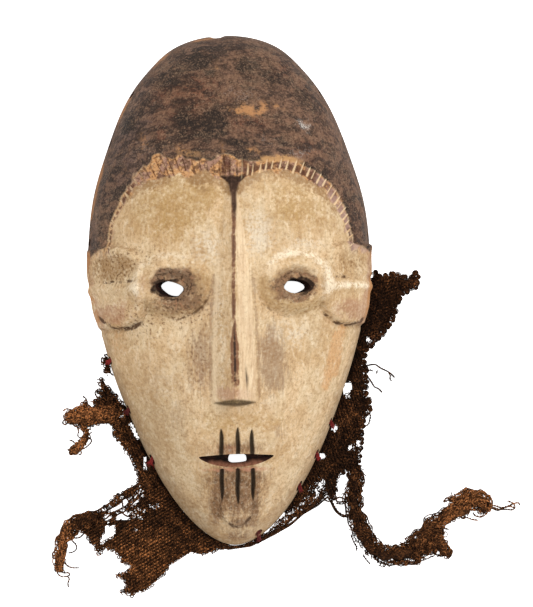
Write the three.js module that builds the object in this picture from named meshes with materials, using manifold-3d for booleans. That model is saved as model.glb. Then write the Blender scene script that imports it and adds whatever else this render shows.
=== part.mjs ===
// Carved wooden face mask with the ragged remains of a beard of looped netting.
// It lies face up on the flat back of its rim. Millimetres: +Z comes out of the
// face, +Y points to the crown and +X to the right of the face as it is seen.
// Lengths along Y count from the middle of the mask's length.

import * as THREE from 'three';
import { mergeVertices } from 'three/addons/utils/BufferGeometryUtils.js';
import Module from 'manifold-3d';

const wasm = await Module();
wasm.setup();

// Driving dimensions of the carved shell
const MASK_WIDTH = 150;
const MASK_LENGTH = 270;
const WIDEST_Y = 10.5;
const DOME_DEPTH = 52;
const CHIN_DEPTH = 41;
const RIM_WALL = 7;
const FACE_WALL = 9.5;
const CAVITY_OVERRUN = 5;

// Egg-shaped outline: a superellipse up to the crown, a pointed arch to the chin
const CROWN_REACH = MASK_LENGTH / 2 - WIDEST_Y;
const CHIN_REACH = MASK_LENGTH / 2 + WIDEST_Y;
const CROWN_POWER = 2.08;
const CHIN_ACROSS_POWER = 1 / 0.55;
const CHIN_ALONG_POWER = 1.27;

// Roundness of the dome between its top and the rim
const DOME_POWER = 2.8;
const DOME_SHOULDER = 0.6;

// Carving of the face
const HAIRLINE_Y = 10;
const HAIRLINE_HALF_WIDTH = 66;
const HAIRLINE_RISE = 60.5;
const HAIRLINE_POWER = 2.8;
const HAIRLINE_DIP = 10.5;
const HAIRLINE_DIP_WIDTH = 6.5;
const CAP_STEP = 1.4;
const NOSE_TOP_Y = 60;
const NOSE_TIP_Y = -59.8;
const NOSE_BASE_Y = -62.4;
const NOSE_HALF_WIDTH = 10.7;
const NOSE_SPREAD = 2.6;
const NOSE_ROOT_HEIGHT = 1.5;
const NOSE_TIP_HEIGHT = 12.5;
const EYE_X = 32.5;
const EYE_Y = 2;
const EYE_SWELLING = { across: 20.5, along: 17.5, height: 3.2 };
const EYE_FUNNEL = { across: 12.5, along: 8.2, depth: 5 };
const EYE_HOLE = { across: 6.4, along: 4.2 };
const EYE_HOLE_INWARD = 3;
const EYE_HOLE_DROP = 1.5;
const EAR = { x: 62, y: 1.5, across: 17, along: 21, height: 2.6 };
const MOUTH = { y: -90, length: 40, height: 6.6, depth: 6 };
const MOUTH_HOLE = { x: -0.5, y: -89.4, length: 11, height: 5.4 };
const CUT_WIDTH = 2.6;
const CUT_DEPTH = 1.8;
const UPPER_CUTS = [
  { x: -7.8, from: -88, to: -73 },
  { x: 0.9, from: -88, to: -73 },
  { x: 8, from: -88, to: -74 },
];
const LOWER_CUTS = [
  { x: -8, from: -93, to: -111.5 },
  { x: 0.5, from: -93, to: -113.5 },
  { x: 8.7, from: -93, to: -111.5 },
];

// Holes bored through the side wall, just above the rim
const RIM_HOLE_DIAMETER = 4.4;
const RIM_HOLE_Z = 6.5;
const BARE_HOLES_Y = [105, 80, 26.5];
const LEFT_STITCHES_Y = [-36.5, -63, -90];
const RIGHT_STITCHES_Y = [-72, -89, -106];
const CHIN_STITCH_ANGLE = 5;
const CROWN_CHIP = { x: -4, radius: 3.2, bite: 1.7, height: 6 };

// Beard of netting and its sewing
const NET_THICKNESS = 2.4;
const NET_FOLD_THICKNESS = 6;
const NET_GAP = 0.4;
const THREAD_RADIUS = 0.5;
const KNOT_RADIUS = 1;

const COLOURS = {
  wood: '#c8a982',
  net: '#3d281b',
  scrap: '#3a251a',
  thread: '#8c2a22',
};

// Helpers for numbers

function smoothstep(from, to, value) {
  const t = Math.min(Math.max((value - from) / (to - from), 0), 1);
  return t * t * (3 - 2 * t);
}

function hill(x, y, across, along) {
  return Math.exp(-((x / across) ** 2) - (y / along) ** 2);
}

function lerp(from, to, t) {
  return from + (to - from) * t;
}

// Helpers for solids

function toSolid(geometry) {
  const bare = geometry.clone();
  bare.deleteAttribute('normal');
  bare.deleteAttribute('uv');
  const merged = mergeVertices(bare, 1e-4);
  return new wasm.Manifold(new wasm.Mesh({
    numProp: 3,
    vertProperties: new Float32Array(merged.attributes.position.array),
    triVerts: new Uint32Array(merged.index.array),
  }));
}

function toGeometry(solid) {
  const mesh = solid.getMesh();
  const geometry = new THREE.BufferGeometry();
  geometry.setAttribute('position', new THREE.BufferAttribute(mesh.vertProperties, 3));
  geometry.setIndex(new THREE.BufferAttribute(mesh.triVerts, 1));
  geometry.computeVertexNormals();
  return geometry;
}

function indexedGeometry(points, triangles) {
  const geometry = new THREE.BufferGeometry();
  geometry.setAttribute('position', new THREE.Float32BufferAttribute(points.flat(), 3));
  geometry.setIndex(triangles);
  return geometry;
}

// Rows of points across the mask, from chin to crown, closed below by a flat
// underside and at both ends by a flat facet
function closedSkin(rows) {
  const width = rows[0].length;
  const at = (row, column) => row * width + column;
  const last = width - 1;
  const end = rows.length - 1;
  const triangles = [];
  for (let row = 0; row < end; row += 1) {
    for (let column = 0; column < last; column += 1) {
      triangles.push(at(row, column), at(row, column + 1), at(row + 1, column + 1));
      triangles.push(at(row, column), at(row + 1, column + 1), at(row + 1, column));
    }
    triangles.push(at(row, 0), at(row + 1, 0), at(row + 1, last));
    triangles.push(at(row, 0), at(row + 1, last), at(row, last));
  }
  for (let column = 1; column < last; column += 1) {
    triangles.push(at(0, 0), at(0, column + 1), at(0, column));
    triangles.push(at(end, 0), at(end, column), at(end, column + 1));
  }
  return toSolid(indexedGeometry(rows.flat(), triangles));
}

// Rings of equal count, stacked from the lowest to the highest and capped
function loft(rings) {
  const count = rings[0].length;
  const at = (ring, side) => ring * count + (side % count);
  const top = rings.length - 1;
  const triangles = [];
  for (let ring = 0; ring < top; ring += 1) {
    for (let side = 0; side < count; side += 1) {
      triangles.push(at(ring, side), at(ring, side + 1), at(ring + 1, side + 1));
      triangles.push(at(ring, side), at(ring + 1, side + 1), at(ring + 1, side));
    }
  }
  for (let side = 1; side < count - 1; side += 1) {
    triangles.push(at(0, 0), at(0, side + 1), at(0, side));
    triangles.push(at(top, 0), at(top, side), at(top, side + 1));
  }
  return toSolid(indexedGeometry(rings.flat(), triangles));
}

function ellipseRing(x, y, z, across, along, sides = 16) {
  return Array.from({ length: sides }, (_, side) => {
    const angle = (side / sides) * Math.PI * 2;
    return [x + across * Math.cos(angle), y + along * Math.sin(angle), z];
  });
}

function outlinePlate(points, thickness) {
  const shape = new THREE.Shape(points.map(([x, y]) => new THREE.Vector2(x, y)));
  return toSolid(new THREE.ExtrudeGeometry(shape, { depth: thickness, bevelEnabled: false }));
}

function tube(points, radius, sides, steps) {
  const section = new THREE.Shape(Array.from({ length: sides }, (_, side) => {
    const angle = (side / sides) * Math.PI * 2;
    return new THREE.Vector2(radius * Math.cos(angle), radius * Math.sin(angle));
  }));
  const path = new THREE.CatmullRomCurve3(points.map((point) => new THREE.Vector3(...point)));
  return toSolid(new THREE.ExtrudeGeometry(section, { steps, extrudePath: path, bevelEnabled: false }));
}

// The egg of the outline, and how far out a point lies on it: 0 in the middle
// of the dome and 1 on the rim

function egg(halfWidth, crownReach, chinReach) {
  return { halfWidth, crownReach, chinReach };
}

function outlineTest(shape, x, upward) {
  const across = Math.abs(x) / shape.halfWidth;
  if (upward >= 0) {
    return across ** CROWN_POWER + (upward / shape.crownReach) ** CROWN_POWER;
  }
  return across ** CHIN_ACROSS_POWER + (-upward / shape.chinReach) ** CHIN_ALONG_POWER;
}

function outwardShare(shape, x, y) {
  let low = 0;
  let high = 1.5;
  for (let pass = 0; pass < 32; pass += 1) {
    const share = (low + high) / 2;
    if (outlineTest(shape, x / share, (y - WIDEST_Y) / share) > 1) {
      low = share;
    } else {
      high = share;
    }
  }
  return Math.min(high, 1);
}

function halfWidthAt(shape, y) {
  const upward = y - WIDEST_Y;
  if (upward >= 0) {
    const left = Math.max(1 - (upward / shape.crownReach) ** CROWN_POWER, 0);
    return shape.halfWidth * left ** (1 / CROWN_POWER);
  }
  const left = Math.max(1 - (-upward / shape.chinReach) ** CHIN_ALONG_POWER, 0);
  return shape.halfWidth * left ** (1 / CHIN_ACROSS_POWER);
}

function depthAt(y) {
  return lerp(DOME_DEPTH, CHIN_DEPTH, smoothstep(-10, -130, y));
}

function domeHeight(shape, x, y, thinner) {
  const share = outwardShare(shape, x, y);
  return (depthAt(y) - thinner) * (1 - share ** DOME_POWER) ** DOME_SHOULDER;
}

// Outward normal of the smooth dome. It lies flat on the rim itself.
function domeNormal(shape, x, y) {
  const step = 0.05;
  const share = outwardShare(shape, x, y);
  const alongX = (outwardShare(shape, x + step, y) - outwardShare(shape, x - step, y)) / (2 * step);
  const alongY = (outwardShare(shape, x, y + step) - outwardShare(shape, x, y - step)) / (2 * step);
  const steepness = depthAt(y) * DOME_SHOULDER * DOME_POWER * share ** (DOME_POWER - 1);
  const rise = (1 - share ** DOME_POWER) ** (1 - DOME_SHOULDER);
  return new THREE.Vector3(steepness * alongX, steepness * alongY, rise).normalize();
}

// Relief of the carving, measured out of the smooth dome

function noseShare(y) {
  return Math.min(Math.max((NOSE_TOP_Y - y) / (NOSE_TOP_Y - NOSE_TIP_Y), 0), 1);
}

function noseHalfWidth(y) {
  return NOSE_HALF_WIDTH * (1 - (1 - noseShare(y)) ** NOSE_SPREAD) + 0.6;
}

function noseRelief(x, y) {
  if (y > NOSE_TOP_Y || y < NOSE_BASE_Y) {
    return 0;
  }
  const height = lerp(NOSE_ROOT_HEIGHT, NOSE_TIP_HEIGHT, noseShare(y));
  const underside = Math.min((y - NOSE_BASE_Y) / (NOSE_TIP_Y - NOSE_BASE_Y), 1);
  return height * underside * Math.max(1 - Math.abs(x) / noseHalfWidth(y), 0);
}

function hairlineDistance(x, y) {
  const dip = HAIRLINE_DIP * Math.exp(-((x / HAIRLINE_DIP_WIDTH) ** 2));
  const across = Math.abs(x) / HAIRLINE_HALF_WIDTH;
  const along = Math.max(y - HAIRLINE_Y, 0) / (HAIRLINE_RISE - dip);
  const share = (across ** HAIRLINE_POWER + along ** HAIRLINE_POWER) ** (1 / HAIRLINE_POWER);
  const aboveEar = y - (EAR.y + EAR.along - ((Math.abs(x) - EAR.x) / 12) ** 2 * 5);
  return Math.min((share - 1) * HAIRLINE_RISE, aboveEar);
}

function eyeRelief(x, y) {
  const across = (Math.abs(x) - EYE_X) / EYE_SWELLING.across;
  const along = (y - EYE_Y) / EYE_SWELLING.along;
  const out = Math.hypot(across, along);
  const swelling = EYE_SWELLING.height * smoothstep(1.05, 0.7, out);
  return swelling - 2 * Math.exp(-((out / 0.5) ** 2));
}

function earRelief(x, y) {
  const across = (Math.abs(x) - EAR.x) / EAR.across;
  const along = (y - EAR.y) / EAR.along;
  const out = (Math.abs(Math.min(across, 0)) ** 2.6 + Math.abs(along) ** 2.6) ** (1 / 2.6);
  const plate = smoothstep(1.06, 0.92, out);
  const hollow = -1.8 * hill(Math.abs(x) - EAR.x, y - 13, 10, 6);
  const ridge = 1.1 * Math.exp(-(((y - 0.5) / 2.4) ** 2));
  const lobe = 0.8 * hill(Math.abs(x) - EAR.x, y + 9, 13, 7);
  return plate * (EAR.height + hollow + ridge + lobe);
}

function relief(x, y, share) {
  const cap = CAP_STEP * smoothstep(-1.5, 1.5, hairlineDistance(x, y));
  const cheeks = -2.4 * hill(Math.abs(x) - 28, y + 30, 19, 26);
  const temples = 1.6 * hill(x, y - 45, 45, 25);
  const towardRim = smoothstep(1, 0.9, share);
  const face = noseRelief(x, y) + cheeks + temples + eyeRelief(x, y);
  return towardRim * (face + cap) + smoothstep(1.02, 0.96, share) * earRelief(x, y);
}

const outerEgg = egg(MASK_WIDTH / 2, CROWN_REACH, CHIN_REACH);
const innerEgg = egg(MASK_WIDTH / 2 - RIM_WALL, CROWN_REACH - RIM_WALL, CHIN_REACH - RIM_WALL);

function facePoint(x, y) {
  const share = outwardShare(outerEgg, x, y);
  const normal = domeNormal(outerEgg, x, y);
  return new THREE.Vector3(x, y, domeHeight(outerEgg, x, y, 0))
    .addScaledVector(normal, relief(x, y, share));
}

// Rows crowd together towards crown and chin, and over the eyes and ears
function rowPlaces(shape, spacing, fineSpacing, features) {
  const crown = WIDEST_Y + shape.crownReach;
  const chin = WIDEST_Y - shape.chinReach;
  const ends = [0.9995, 0.993, 0.978, 0.955, 0.925];
  const places = ends.map((share) => WIDEST_Y - share * shape.chinReach);
  let y = lerp(WIDEST_Y, chin, 0.89);
  while (y < lerp(WIDEST_Y, crown, 0.89)) {
    if (features.every((feature) => Math.abs(feature - y) > 1)) {
      places.push(y);
    }
    y += y > -24 && y < 25 ? fineSpacing : spacing;
  }
  places.push(...ends.reverse().map((share) => WIDEST_Y + share * shape.crownReach));
  places.push(...features);
  return places.sort((first, second) => first - second);
}

function outerShell() {
  const shares = [0, 0.1, 0.2, 0.31, 0.42, 0.53, 0.64, 0.74, 0.83, 0.9, 0.95, 0.98, 0.995, 1];
  const rows = rowPlaces(outerEgg, 5, 3.4, [NOSE_BASE_Y, NOSE_TIP_Y, NOSE_TOP_Y]).map((y) => {
    const halfWidth = halfWidthAt(outerEgg, y);
    const noseEdge = Math.min(noseHalfWidth(y), halfWidth * 0.3);
    const places = [0, ...shares.map((share) => lerp(noseEdge, halfWidth, share))];
    const row = [...places.slice(1).reverse().map((x) => -x), ...places];
    return row.map((x) => {
      if (Math.abs(x) > halfWidth * 0.9999) {
        return [x, y, 0];
      }
      return facePoint(x, y).toArray();
    });
  });
  return closedSkin(rows);
}

function cavity() {
  const shares = [0, 0.2, 0.4, 0.6, 0.76, 0.88, 0.96, 0.99, 1];
  const rows = rowPlaces(innerEgg, 10, 10, []).map((y) => {
    const halfWidth = halfWidthAt(innerEgg, y);
    const row = [...shares.slice(1).reverse().map((share) => -share), ...shares];
    const roof = row.map((share) => {
      const x = share * halfWidth;
      return [x, y, domeHeight(innerEgg, x, y, FACE_WALL)];
    });
    return [[-halfWidth, y, -CAVITY_OVERRUN], ...roof, [halfWidth, y, -CAVITY_OVERRUN]];
  });
  return closedSkin(rows);
}

// Tools that pierce and cut the face

function eyeTool(side) {
  const x = side * EYE_X;
  const surface = facePoint(x, EYE_Y).z;
  const insideX = x - side * EYE_HOLE_INWARD;
  const insideY = EYE_Y - EYE_HOLE_DROP;
  const below = surface - FACE_WALL - 8;
  return loft([
    ellipseRing(insideX, insideY, below, EYE_HOLE.across, EYE_HOLE.along),
    ellipseRing(x, EYE_Y, surface - EYE_FUNNEL.depth, EYE_HOLE.across, EYE_HOLE.along),
    ellipseRing(x, EYE_Y, surface + 2, EYE_FUNNEL.across, EYE_FUNNEL.along),
  ]);
}

function lens(x, y, z, length, height, sides = 20) {
  return Array.from({ length: sides }, (_, side) => {
    const angle = (side / sides) * Math.PI * 2;
    const rise = Math.sign(Math.sin(angle)) * Math.abs(Math.sin(angle)) ** 0.9;
    return [x + (length / 2) * Math.cos(angle), y + (height / 2) * rise, z];
  });
}

function mouthTools() {
  const surface = facePoint(0, MOUTH.y).z;
  const floor = surface - MOUTH.depth;
  const slit = loft([
    lens(0, MOUTH.y, floor, MOUTH.length * 0.9, MOUTH.height * 0.7),
    lens(0, MOUTH.y, surface + 3, MOUTH.length, MOUTH.height),
  ]);
  const hole = loft([
    lens(MOUTH_HOLE.x, MOUTH_HOLE.y, floor - 12, MOUTH_HOLE.length, MOUTH_HOLE.height, 12),
    lens(MOUTH_HOLE.x, MOUTH_HOLE.y, floor + 1, MOUTH_HOLE.length, MOUTH_HOLE.height, 12),
  ]);
  return [slit, hole];
}

// A tapering V-shaped cut that follows the surface
function cutTool({ x, from, to }) {
  const stations = 6;
  const rings = [];
  for (let station = 0; station <= stations; station += 1) {
    const share = station / stations;
    const y = lerp(from, to, share);
    const size = Math.max(1 - share ** 2.5, 0.12);
    const surface = facePoint(x, y).z;
    const half = CUT_WIDTH * size;
    const ring = [
      [x - half, y, surface + CUT_DEPTH],
      [x, y, surface - CUT_DEPTH * size],
      [x + half, y, surface + CUT_DEPTH],
    ];
    rings.push(to < from ? ring : ring.reverse());
  }
  return loft(rings);
}

// Places on the rim. Angles turn from the chin towards the right of the face.

function rimPoint(angle, offset, z) {
  const x = Math.sin(angle);
  const y = -Math.cos(angle);
  const reach = 1 / outwardShare(outerEgg, x, WIDEST_Y + y) + offset;
  return new THREE.Vector3(reach * x, WIDEST_Y + reach * y, z);
}

function rimAngle(side, y) {
  return side * Math.atan2(halfWidthAt(outerEgg, y), WIDEST_Y - y);
}

function rimHoleTool(angle) {
  const tool = new THREE.CylinderGeometry(RIM_HOLE_DIAMETER / 2, RIM_HOLE_DIAMETER / 2, 30, 10);
  const middle = rimPoint(angle, -6, RIM_HOLE_Z);
  tool.rotateZ(angle);
  tool.translate(middle.x, middle.y, middle.z);
  return toSolid(tool);
}

// A chip broken out of the rim at the crown
function crownChipTool() {
  const tool = new THREE.CylinderGeometry(CROWN_CHIP.radius, CROWN_CHIP.radius, 2 * CROWN_CHIP.height, 10);
  tool.rotateX(Math.PI / 2);
  tool.translate(CROWN_CHIP.x, MASK_LENGTH / 2 + CROWN_CHIP.radius - CROWN_CHIP.bite, 0);
  return toSolid(tool);
}

const bareAngles = BARE_HOLES_Y.flatMap((y) => [rimAngle(-1, y), rimAngle(1, y)]);
const stitches = [
  ...LEFT_STITCHES_Y.map((y, index) => ({ name: `left_${index + 1}`, angle: rimAngle(-1, y) })),
  ...RIGHT_STITCHES_Y.map((y, index) => ({ name: `right_${index + 1}`, angle: rimAngle(1, y) })),
  { name: 'chin', angle: THREE.MathUtils.degToRad(CHIN_STITCH_ANGLE) },
];

function carvedMask() {
  const tools = [
    cavity(),
    eyeTool(-1),
    eyeTool(1),
    ...mouthTools(),
    ...UPPER_CUTS.map(cutTool),
    ...LOWER_CUTS.map(cutTool),
    ...bareAngles.map(rimHoleTool),
    ...stitches.map(({ angle }) => rimHoleTool(angle)),
    crownChipTool(),
  ];
  return tools.reduce((shell, tool) => shell.subtract(tool), outerShell());
}

// The netting, as flat patches and rolled strips that are all one cloth

const FLAP = [
  [-69, -46], [-55, -60], [-50, -77], [-61, -79], [-63, -71], [-72, -70], [-88, -68], [-87, -62], [-76, -57],
  [-69, -55],
];
const LEFT_NET = [
  [-55, -59], [-40, -97], [-26, -119], [-10, -134], [0, -136], [-14, -140], [-29, -142], [-37, -150],
  [-54, -160.5], [-60, -157], [-59, -147], [-66, -134], [-76, -133], [-79, -127], [-70, -116], [-60, -105],
  [-52, -101], [-57, -85], [-63, -73],
];
const RIGHT_NET = [
  [22, -122], [46, -84], [60, -50], [70, -18], [76, -1], [77, 8], [91, 5], [99, 5], [97, -2], [90, -8],
  [84, -20], [71, -32], [70, -53], [73, -62], [68, -72], [65, -96], [55, -99], [51, -111], [33, -116],
];
const KNOT = [[93, -130], [104, -122], [112, -122], [111, -137], [113, -144], [94, -145]];
const LUMP = [[114, -114], [125, -109.5], [130, -109.5], [135, -117], [133, -121], [120, -120]];
const SCRAP = [[-68, -34], [-63, -35], [-62, -43], [-67, -42]];
const ROLLED_END = [[-66, -120], [-78, -120], [-87, -123], [-92, -131], [-94, -145]];
const CORDS = [[13, -133], [20, -128.5], [28, -124.5], [40, -116.5], [50, -109]];
const TWISTED_END = [
  [64, -94], [63, -115], [63, -124], [69, -137], [84, -141], [98, -138], [104, -130], [110, -121], [125, -116],
];
const THIN_END = [[131, -117], [142, -118.5], [148, -116.5]];
const HANGING_BIT = [[-79, -66], [-77, -74], [-84, -82]];

function outlinePolygon(offset) {
  return Array.from({ length: 96 }, (_, index) => {
    const { x, y } = rimPoint((index / 96) * Math.PI * 2, offset, 0);
    return [x, y];
  });
}

function clearOfRim(solid) {
  const room = outlinePlate(outlinePolygon(NET_GAP), DOME_DEPTH).translate([0, 0, -CAVITY_OVERRUN]);
  return solid.subtract(room);
}

function rolled(points, radius, sides = 8) {
  return tube(points.map(([x, y]) => [x, y, radius]), radius, sides, points.length * 2);
}

function chinStrip() {
  const angles = [-7, -3.5, 0, 3.5, 7, 9];
  const points = angles.map((angle) => {
    const { x, y } = rimPoint(THREE.MathUtils.degToRad(angle), 1.4, 0);
    return [x, y];
  });
  return rolled(points, 1.3, 6);
}

function beardNet() {
  const parts = [
    outlinePlate(FLAP, NET_THICKNESS),
    outlinePlate(RIGHT_NET, NET_THICKNESS),
    outlinePlate(KNOT, NET_FOLD_THICKNESS),
    outlinePlate(LUMP, NET_FOLD_THICKNESS),
    rolled(ROLLED_END, 3.8),
    rolled(CORDS, 1.8, 6),
    rolled(TWISTED_END, 3.8),
    rolled(THIN_END, 1.2, 6),
    rolled(HANGING_BIT, 2, 6),
    chinStrip(),
  ];
  return clearOfRim(parts.reduce((net, part) => net.add(part), outlinePlate(LEFT_NET, NET_THICKNESS)));
}

function netScrap() {
  return clearOfRim(outlinePlate(SCRAP, NET_THICKNESS));
}

// A thread knotted inside, led out through its hole and down onto the netting
function stitch(angle) {
  const places = [[-9.5, RIM_HOLE_Z], [-6, RIM_HOLE_Z], [-2.5, RIM_HOLE_Z], [-0.2, 6.2], [1, 5], [1.2, 4]];
  const path = places.map(([offset, z]) => rimPoint(angle, offset, z));
  const knot = ({ x, y, z }) => {
    const ball = new THREE.IcosahedronGeometry(KNOT_RADIUS, 0);
    ball.translate(x, y, z);
    return toSolid(ball);
  };
  const thread = tube(path.map((point) => point.toArray()), THREAD_RADIUS, 5, 6);
  return thread.add(knot(path[0])).add(knot(path[path.length - 1]));
}

// The object, with its bounding box centred over the origin at the base

const group = new THREE.Group();

function place(name, solid, colour, roughness) {
  const material = new THREE.MeshStandardMaterial({ color: colour, roughness, metalness: 0 });
  const mesh = new THREE.Mesh(toGeometry(solid), material);
  mesh.name = name;
  group.add(mesh);
}

place('mask', carvedMask(), COLOURS.wood, 0.75);
place('beard_net', beardNet(), COLOURS.net, 0.95);
place('net_scrap', netScrap(), COLOURS.scrap, 0.95);
stitches.forEach(({ name, angle }) => {
  place(`thread_stitch_${name}`, stitch(angle), COLOURS.thread, 0.9);
});

const box = new THREE.Box3().setFromObject(group);
const middle = box.getCenter(new THREE.Vector3());
group.position.set(-middle.x, -middle.y, -box.min.z);

export default group;
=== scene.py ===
import math

import bmesh
import bpy
import numpy as np
from mathutils import Matrix, Vector, noise


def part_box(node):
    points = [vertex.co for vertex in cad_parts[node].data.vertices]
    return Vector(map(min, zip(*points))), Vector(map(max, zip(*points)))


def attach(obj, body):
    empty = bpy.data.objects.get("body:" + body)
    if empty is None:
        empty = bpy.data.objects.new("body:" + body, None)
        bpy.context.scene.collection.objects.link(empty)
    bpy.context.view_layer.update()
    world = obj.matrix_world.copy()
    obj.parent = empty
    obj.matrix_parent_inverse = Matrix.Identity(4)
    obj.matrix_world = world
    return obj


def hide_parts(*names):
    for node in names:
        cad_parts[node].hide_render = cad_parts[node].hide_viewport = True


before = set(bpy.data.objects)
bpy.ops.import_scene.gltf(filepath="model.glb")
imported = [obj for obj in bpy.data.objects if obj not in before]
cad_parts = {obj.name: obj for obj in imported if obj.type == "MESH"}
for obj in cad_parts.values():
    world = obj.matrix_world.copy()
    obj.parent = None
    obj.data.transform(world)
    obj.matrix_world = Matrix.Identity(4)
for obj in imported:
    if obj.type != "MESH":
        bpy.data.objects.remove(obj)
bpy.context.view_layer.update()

# Millimetres are counted from the middle of the carved wood, with the floor at zero
wood_low, wood_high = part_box("mask")
MIDDLE = np.array([(wood_low.x + wood_high.x) / 2, (wood_low.y + wood_high.y) / 2, 0.0])


def in_metres(points):
    return np.asarray(points, float) / 1000 + MIDDLE


def in_millimetres(points):
    return (np.asarray(points, float) - MIDDLE) * 1000


# Camera
# A long lens looks down on the mask where it lies, from a little to the left of it
# and a little below its middle, as the side wall shows in the photograph.
PHOTO_WIDTH, PHOTO_HEIGHT = 533, 607
MM_PER_PIXEL = 0.53
CAMERA_AWAY = 1.6
SENSOR_HEIGHT = 24
LOOKS_AT = (19.2, -7.55, 0)
TURNED = math.radians(1.16)
FROM_LEFT = math.radians(2.5)
FROM_BELOW = math.radians(1.5)

camera = bpy.data.objects.new("camera", bpy.data.cameras.new("camera"))
bpy.context.collection.objects.link(camera)
camera.data.sensor_fit = "VERTICAL"
camera.data.sensor_height = SENSOR_HEIGHT
camera.data.sensor_width = SENSOR_HEIGHT * PHOTO_WIDTH / PHOTO_HEIGHT
camera.data.lens = SENSOR_HEIGHT * CAMERA_AWAY / (PHOTO_HEIGHT * MM_PER_PIXEL / 1000)
looks_at = Vector(in_metres(LOOKS_AT))
back = Vector((-math.sin(FROM_LEFT), -math.sin(FROM_BELOW), 1)).normalized()
right = Vector((math.cos(TURNED), -math.sin(TURNED), 0))
right = (right - back * right.dot(back)).normalized()
facing = Matrix((right, back.cross(right), back)).transposed()
camera.matrix_world = Matrix.Translation(looks_at + back * CAMERA_AWAY) @ facing.to_4x4()
camera.data.clip_end = 20
bpy.context.scene.camera = camera

# Carved mask
# One block of light wood, hollowed from behind to an even wall and carved in front
# with adze and knife. The face is whitened with kaolin, the cap is rubbed dark, and
# small holes are bored round the rim.
HALF_WIDTH = 75.0
CROWN_REACH = 124.5
CHIN_REACH = 145.5
WIDEST_Y = 10.5
# How full the egg is above its widest place and how pointed below it
CROWN_CURVE = 2.08
CHIN_ACROSS = 0.55
CHIN_CURVE = 1.27
# How deep the dome is and how it falls from its top to the rim
DEEPEST = 52
CHIN_SHALLOWER = 11
DOME_ROUND = 2.8
DOME_STEEP = 0.6
RIM_WALL = 7.0
FACE_WALL = 9.5
WORN_CORNER = 0.9
CAP_LOBE_Y = 10.0
NOSE_TOP = 60
NOSE_LENGTH = 119.8
NOSE_HALF = 10.7
EYE_X = 32.5
EYE_Y = 2.0
EAR_X = 62.0
EAR_Y = 1.5
EAR_HALF_WIDTH = 17
EAR_HALF_HEIGHT = 21
EAR_CURVE = 2.6


def smoothstep(low, high, value):
    share = np.clip((value - low) / (high - low), 0, 1)
    return share * share * (3 - 2 * share)


def bell(value, width):
    return np.exp(-((value / width) ** 2))


def hill(x, y, across, along):
    return np.exp(-((x / across) ** 2) - (y / along) ** 2)


def soft_corner(value, radius):
    return (value + np.sqrt(value * value + radius * radius)) / 2


def grain(points, size, seed=0.0):
    shifted = points / size + seed
    return np.array([noise.noise(Vector(place)) for place in shifted])


# How far out a place lies on the egg of the outline: 0 in the middle, 1 on the rim
def outward_share(x, y, wall=0.0):
    low = np.zeros_like(x)
    high = np.full_like(x, 1.6)
    for _ in range(30):
        share = (low + high) / 2
        across = np.abs(x / share) / (HALF_WIDTH - wall)
        upward = (y - WIDEST_Y) / share
        shouldered = 1 + 0.027 * bell(upward - 68, 24) - 0.1 * smoothstep(100, 124, upward) ** 2
        up = np.maximum(upward, 0) / (CROWN_REACH - wall)
        down = np.maximum(-upward, 0) / (CHIN_REACH - wall)
        crown = (across * shouldered) ** CROWN_CURVE + up ** CROWN_CURVE
        chin = across ** (1 / CHIN_ACROSS) + down ** CHIN_CURVE
        outside = np.where(upward >= 0, crown, chin) > 1
        low = np.where(outside, share, low)
        high = np.where(outside, high, share)
    return high


def dome_depth(y):
    return DEEPEST - CHIN_SHALLOWER * smoothstep(-10, -130, y)


def dome_height(x, y, wall=0.0, thinner=0.0):
    share = np.minimum(outward_share(x, y, wall), 1)
    return (dome_depth(y) - thinner) * (1 - share ** DOME_ROUND) ** DOME_STEEP


def dome_normal(x, y, wall=0.0):
    step = 0.05
    share = np.minimum(outward_share(x, y, wall), 1)
    along_x = (outward_share(x + step, y, wall) - outward_share(x - step, y, wall)) / (2 * step)
    along_y = (outward_share(x, y + step, wall) - outward_share(x, y - step, wall)) / (2 * step)
    steepness = dome_depth(y) * DOME_STEEP * DOME_ROUND * share ** (DOME_ROUND - 1)
    level = (1 - share ** DOME_ROUND) ** (1 - DOME_STEEP)
    normal = np.stack([steepness * along_x, steepness * along_y, level], axis=1)
    return normal / np.linalg.norm(normal, axis=1, keepdims=True)


BAND = 0.05
MEAN_DEPTH = 48


# Spaces the rings of a square grid evenly over the top and down the steep side
def share_along(out, steepness):
    steps = 1 - (1 - np.linspace(0, 1, 300)) ** 2.5
    heights = (1 - steps ** DOME_ROUND) ** DOME_STEEP

    def at(bands):
        shares = np.empty_like(out)
        for band in np.unique(bands):
            path = np.hypot(np.diff(steps), band * np.diff(heights))
            length = np.concatenate([[0], np.cumsum(path)])
            chosen = bands == band
            shares[chosen] = np.interp(out[chosen] * length[-1], length, steps)
        return shares

    lower = np.floor(steepness / BAND) * BAND
    part = (steepness - lower) / BAND
    return (1 - part) * at(lower.round(3)) + part * at((lower + BAND).round(3))


# Lays the square from -1 to 1 over the egg, in millimetres
def over_egg(u, v, wall=0.0):
    across = u * np.sqrt(1 - v * v / 2)
    along = v * np.sqrt(1 - u * u / 2)
    out = np.minimum(np.hypot(across, along), 1)
    aim_x = across * HALF_WIDTH
    aim_y = along * np.where(along > 0, CROWN_REACH, CHIN_REACH)
    length = np.maximum(np.hypot(aim_x, aim_y), 1e-9)
    aim_x = aim_x / length
    aim_y = aim_y / length
    reach = 1 / outward_share(aim_x, WIDEST_Y + aim_y, wall)
    share = share_along(out, MEAN_DEPTH / reach)
    return aim_x * reach * share, WIDEST_Y + aim_y * reach * share, reach


# How far down the nose a place lies, from 0 to 1, and half the nose's width there
def down_nose(y):
    down = np.clip((NOSE_TOP - y) / NOSE_LENGTH, 0, 1)
    return down, NOSE_HALF * (1 - (1 - down) ** 2.6) + 0.6


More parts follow.
